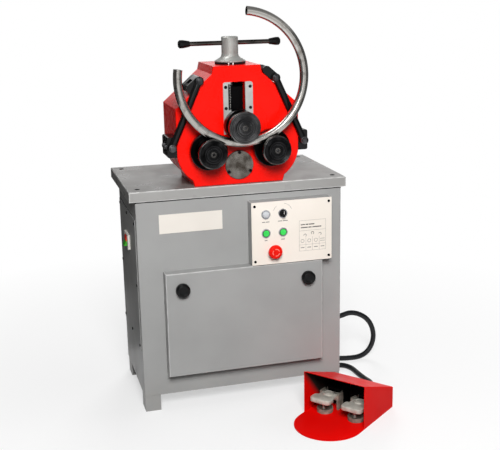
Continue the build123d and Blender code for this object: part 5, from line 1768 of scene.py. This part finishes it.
@dataclass
class GuideArms:
    """The two swinging arms with their forks, rollers, bolts and brackets."""

    half_width: float = 0.0105
    thickness: float = 0.012
    rounding: float = 0.0096
    eye_radius: float = 0.0130
    eye_rounding: float = 0.0022
    fork_gap: float = 0.001
    fork_reach: float = 0.035
    fork_half: float = 0.0128
    fork_back: float = 0.026
    fork_edge: float = 0.004
    fork_bolt: Span = (0.0086, 0.0070)
    pivot_nut: Span = (0.0102, 0.0086)
    nut_gap: float = 0.0002
    bracket_screw: Span = (0.0062, 0.0050)
    bracket_screw_places: Span = (0.062, 0.020)

    def build(self) -> None:
        """Build the arms and bolts, and dress the brackets, forks and rollers."""
        dress(ARM_BLACK, "arm_brackets", "left_roller_fork", "right_roller_fork")
        dress(GUIDE_RUBBER, "left_guide_roller", "right_guide_roller")
        nuts = bmesh.new()
        for side in Side:
            foot, head = pivot(side.part("arm_swing")), pivot(side.part("fork_swivel"))
            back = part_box(side.part("roller_fork"))[0].y - self.fork_gap
            self.arm(side, foot, head, back)
            self.fork_heel(side, head)
            front = back - self.thickness - self.nut_gap
            hex_head(nuts, Vector((foot.x, front, foot.z)), FRONT, self.pivot_nut)
            self.side_screws(nuts, side)
        show("bracket_nuts", nuts, BLACK_BOLT, "frame")

    def arm(self, side: Side, foot: Vector, head: Vector, back: float) -> None:
        """Build one arm as a round-edged bar with an eye at each end, and its fork bolt.

        Args:
            side: left or right.
            foot: the pivot on the bracket.
            head: the pivot of the fork.
            back: the place of its back along Y.
        """
        start, end = (Vector((place.x, back, place.z)) for place in (foot, head))
        front = back - self.thickness
        mesh = round_bar(start, end, self.half_width, self.thickness)
        rim = [edge for edge in mesh.edges if all(abs(vert.co.y - front) < SMALL for vert in edge.verts)]
        round_edges(mesh, rim, self.rounding, 7)
        rise = corner(self.eye_radius, self.thickness, self.eye_rounding)
        for place in (start, end):
            eye = [(0.0, 0.0), (self.eye_radius, 0.0), *rise, (0.0, self.thickness)]
            spun(mesh, eye, place, FRONT, steps=48)
        body = side.part("arm_unit")
        show(side.part("arm_bar"), mesh, ARM_BLACK, body, side.part("guide_arm"))
        bolt = hex_head(bmesh.new(), Vector((head.x, front, head.z)), FRONT, self.fork_bolt)
        show(side.part("fork_bolt"), bolt, BLACK_BOLT, body)

    def fork_heel(self, side: Side, head: Vector) -> None:
        """Build the heel behind a fork, a rounded block in line with it.

        Args:
            side: left or right.
            head: the pivot of the fork.
        """
        node = side.part("roller_fork")
        run = middle(node) - head
        run.y = 0.0
        start = Vector((head.x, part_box(node)[1].y + self.fork_back, head.z))
        end = start + run.normalized() * self.fork_reach
        mesh = round_bar(start, end, self.fork_half, self.fork_back)
        soften(mesh, self.fork_edge, 4, limit=60.0)
        show(side.part("fork_heel"), mesh, ARM_BLACK, side.part("fork_unit"))

    def side_screws(self, mesh: Mesh, side: Side) -> None:
        """Add the two screws that hold a bracket, on its outer side.

        Args:
            mesh: the mesh that gets them.
            side: left or right.
        """
        low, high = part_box("arm_brackets")
        x, outward = (low.x, -UNIT_X) if side is Side.LEFT else (high.x, UNIT_X)
        for place in self.bracket_screw_places:
            seat = Vector((x, high.y - place, (low.z + high.z) / 2))
            hex_head(mesh, seat, outward, self.bracket_screw)


@dataclass
class FootSwitch:
    """The red hood with its two cast pedals."""

    place: Point = (0.2195, -0.425, 0.0)
    turn: float = -50.8
    spacing: float = 0.112
    # Tread
    tread_size: Point = (0.072, 0.040, 0.016)
    tread_front: float = 0.002
    top: float = 0.058
    corner: float = 0.013
    rounding: float = 0.0042
    # Neck, web and pin
    neck: Point = (0.054, 0.052, 0.012)
    neck_drop: float = 0.004
    web_share: float = 1.6
    web_back: float = 0.004
    shank_edge: float = 0.0025
    axis_y: float = 0.084
    axis_z: float = 0.040
    barrel: float = 0.009
    barrel_edge: float = 0.001
    plunger: float = 0.004
    plunger_edge: float = 0.0008
    plunger_y: float = 0.034
    plunger_low: float = 0.013
    plunger_sunk: float = 0.002
    # Boss: its outline is insets from the radius and drops below the top
    boss: Span = (0.0175, 0.0050)
    boss_y: float = 0.062
    boss_sunk: float = 0.004
    boss_outline: Profile = (
        (0.0, 0.0015), (0.0006, 0.0004), (0.0018, 0.0), (0.0045, 0.0), (0.0058, 0.0016), (0.0082, 0.0016),
        (0.0094, 0.0002),
    )
    # Contact boxes
    contact_box: Point = (0.0554, 0.0568, 0.0552)
    contact_middle: Span = (0.131, 0.031)
    contact_edge: float = 0.0042

    def build(self) -> None:
        """Cast the pedals, and dress the hood and what carries them."""
        dress(replace(GUARD_RED, place=self.place, turn=self.turn), "foot_switch_guard")
        dress(CAST_DULL, "pedal_supports")
        self.pedal(Side.LEFT, -self.spacing / 2)
        self.pedal(Side.RIGHT, self.spacing / 2)
        self.contact_covers()

    def set_down(self, mesh: Mesh) -> None:
        """Move a mesh from the foot switch's own axes to where it stands and how it is turned."""
        spot = Matrix.Translation(self.place) @ Matrix.Rotation(math.radians(self.turn), 4, "Z")
        bmesh.ops.transform(mesh, matrix=spot, verts=mesh.verts)

    def contact_covers(self) -> None:
        """Put a black cover over the contact box behind each pedal."""
        mesh = bmesh.new()
        for across in (-self.spacing / 2, self.spacing / 2):
            block(mesh, Vector((across, *self.contact_middle)), self.contact_box)
        floor = self.contact_middle[1] - self.contact_box[2] / 2 + SMALL
        free = [edge for edge in mesh.edges if max(vert.co.z for vert in edge.verts) > floor]
        round_edges(mesh, free, self.contact_edge, 4)
        self.set_down(mesh)
        show("contact_covers", mesh, BLACK_PLASTIC, "frame")

    def tread(self, across: float) -> Mesh:
        """Return the rounded tread of a pedal.

        Args:
            across: the pedal's middle, along the hood's mouth.

        Returns:
            The tread.
        """
        depth, height = self.tread_size[1:]
        centre = Vector((across, self.tread_front + depth / 2, self.top - height / 2))
        mesh = block(bmesh.new(), centre, self.tread_size)
        upright = [edge for edge in mesh.edges if abs(edge.verts[0].co.z - edge.verts[1].co.z) > height / 2]
        round_edges(mesh, upright, self.corner, 6)
        soften(mesh, self.rounding, 4, limit=40.0)
        return mesh

    def shank(self, across: float) -> Mesh:
        """Return the neck behind a pedal's tread, with the web down to its barrel.

        Args:
            across: the pedal's middle, along the hood's mouth.

        Returns:
            The shank.
        """
        width, depth, thick = self.neck
        top = self.top - self.neck_drop
        low = self.axis_z - self.barrel
        web = (width, self.barrel * self.web_share, top - low)
        mesh = block(bmesh.new(), Vector((across, self.axis_y - depth / 2, top - thick / 2)), self.neck)
        block(mesh, Vector((across, self.axis_y - web[1] / 2 + self.web_back, (top + low) / 2)), web)
        soften(mesh, self.shank_edge, 3, limit=40.0)
        return mesh

    def turned_parts(self, mesh: Mesh, across: float) -> None:
        """Add a pedal's round boss, the barrel on its pin and the plunger under its tread.

        Args:
            mesh: the mesh that gets them.
            across: the pedal's middle, along the hood's mouth.
        """
        radius, rise = self.boss
        crown = [(radius - inset, rise - drop) for inset, drop in self.boss_outline]
        boss = [(0.0, -self.boss_sunk), (radius, -self.boss_sunk), *crown, (0.0, crown[-1][1])]
        spun(mesh, boss, Vector((across, self.boss_y, self.top - self.neck_drop)), UNIT_Z)
        half, edge, reach = self.neck[0] / 2, self.barrel_edge, self.barrel
        barrel = [(0.0, -half), (reach - edge, -half), (reach, edge - half)]
        barrel += [(reach, half - edge), (reach - edge, half), (0.0, half)]
        spun(mesh, barrel, Vector((across, self.axis_y, self.axis_z)), UNIT_X, steps=48)
        stem = self.top - self.tread_size[2] + self.plunger_sunk - self.plunger_low
        edge, reach = self.plunger_edge, self.plunger
        plunger = [(0.0, 0.0), (reach - edge, 0.0), (reach, edge), (reach, stem), (0.0, stem)]
        spun(mesh, plunger, Vector((across, self.plunger_y, self.plunger_low)), UNIT_Z, steps=32)

    def pedal(self, side: Side, across: float) -> None:
        """Cast one pedal.

        Args:
            side: left or right.
            across: its middle, along the hood's mouth.
        """
        mesh = self.tread(across)
        join(mesh, self.shank(across))
        self.turned_parts(mesh, across)
        self.set_down(mesh)
        node = side.part("pedal")
        show(node + "_casting", mesh, CAST_ALUMINIUM, node + "_unit", node)


def main() -> None:
    """Build the studio, the cord and each sub-assembly in order."""
    logging.basicConfig(level=logging.INFO, format="%(name)s: %(message)s")
    parts = (
        Studio(), PedalCord(), Cabinet(), ControlPanel(), DoorKnobs(),
        RollSet(), BendingHead(), GuideArms(), FootSwitch(),
    )
    for part in parts:
        part.build()


if __name__ == "__main__":
    main()
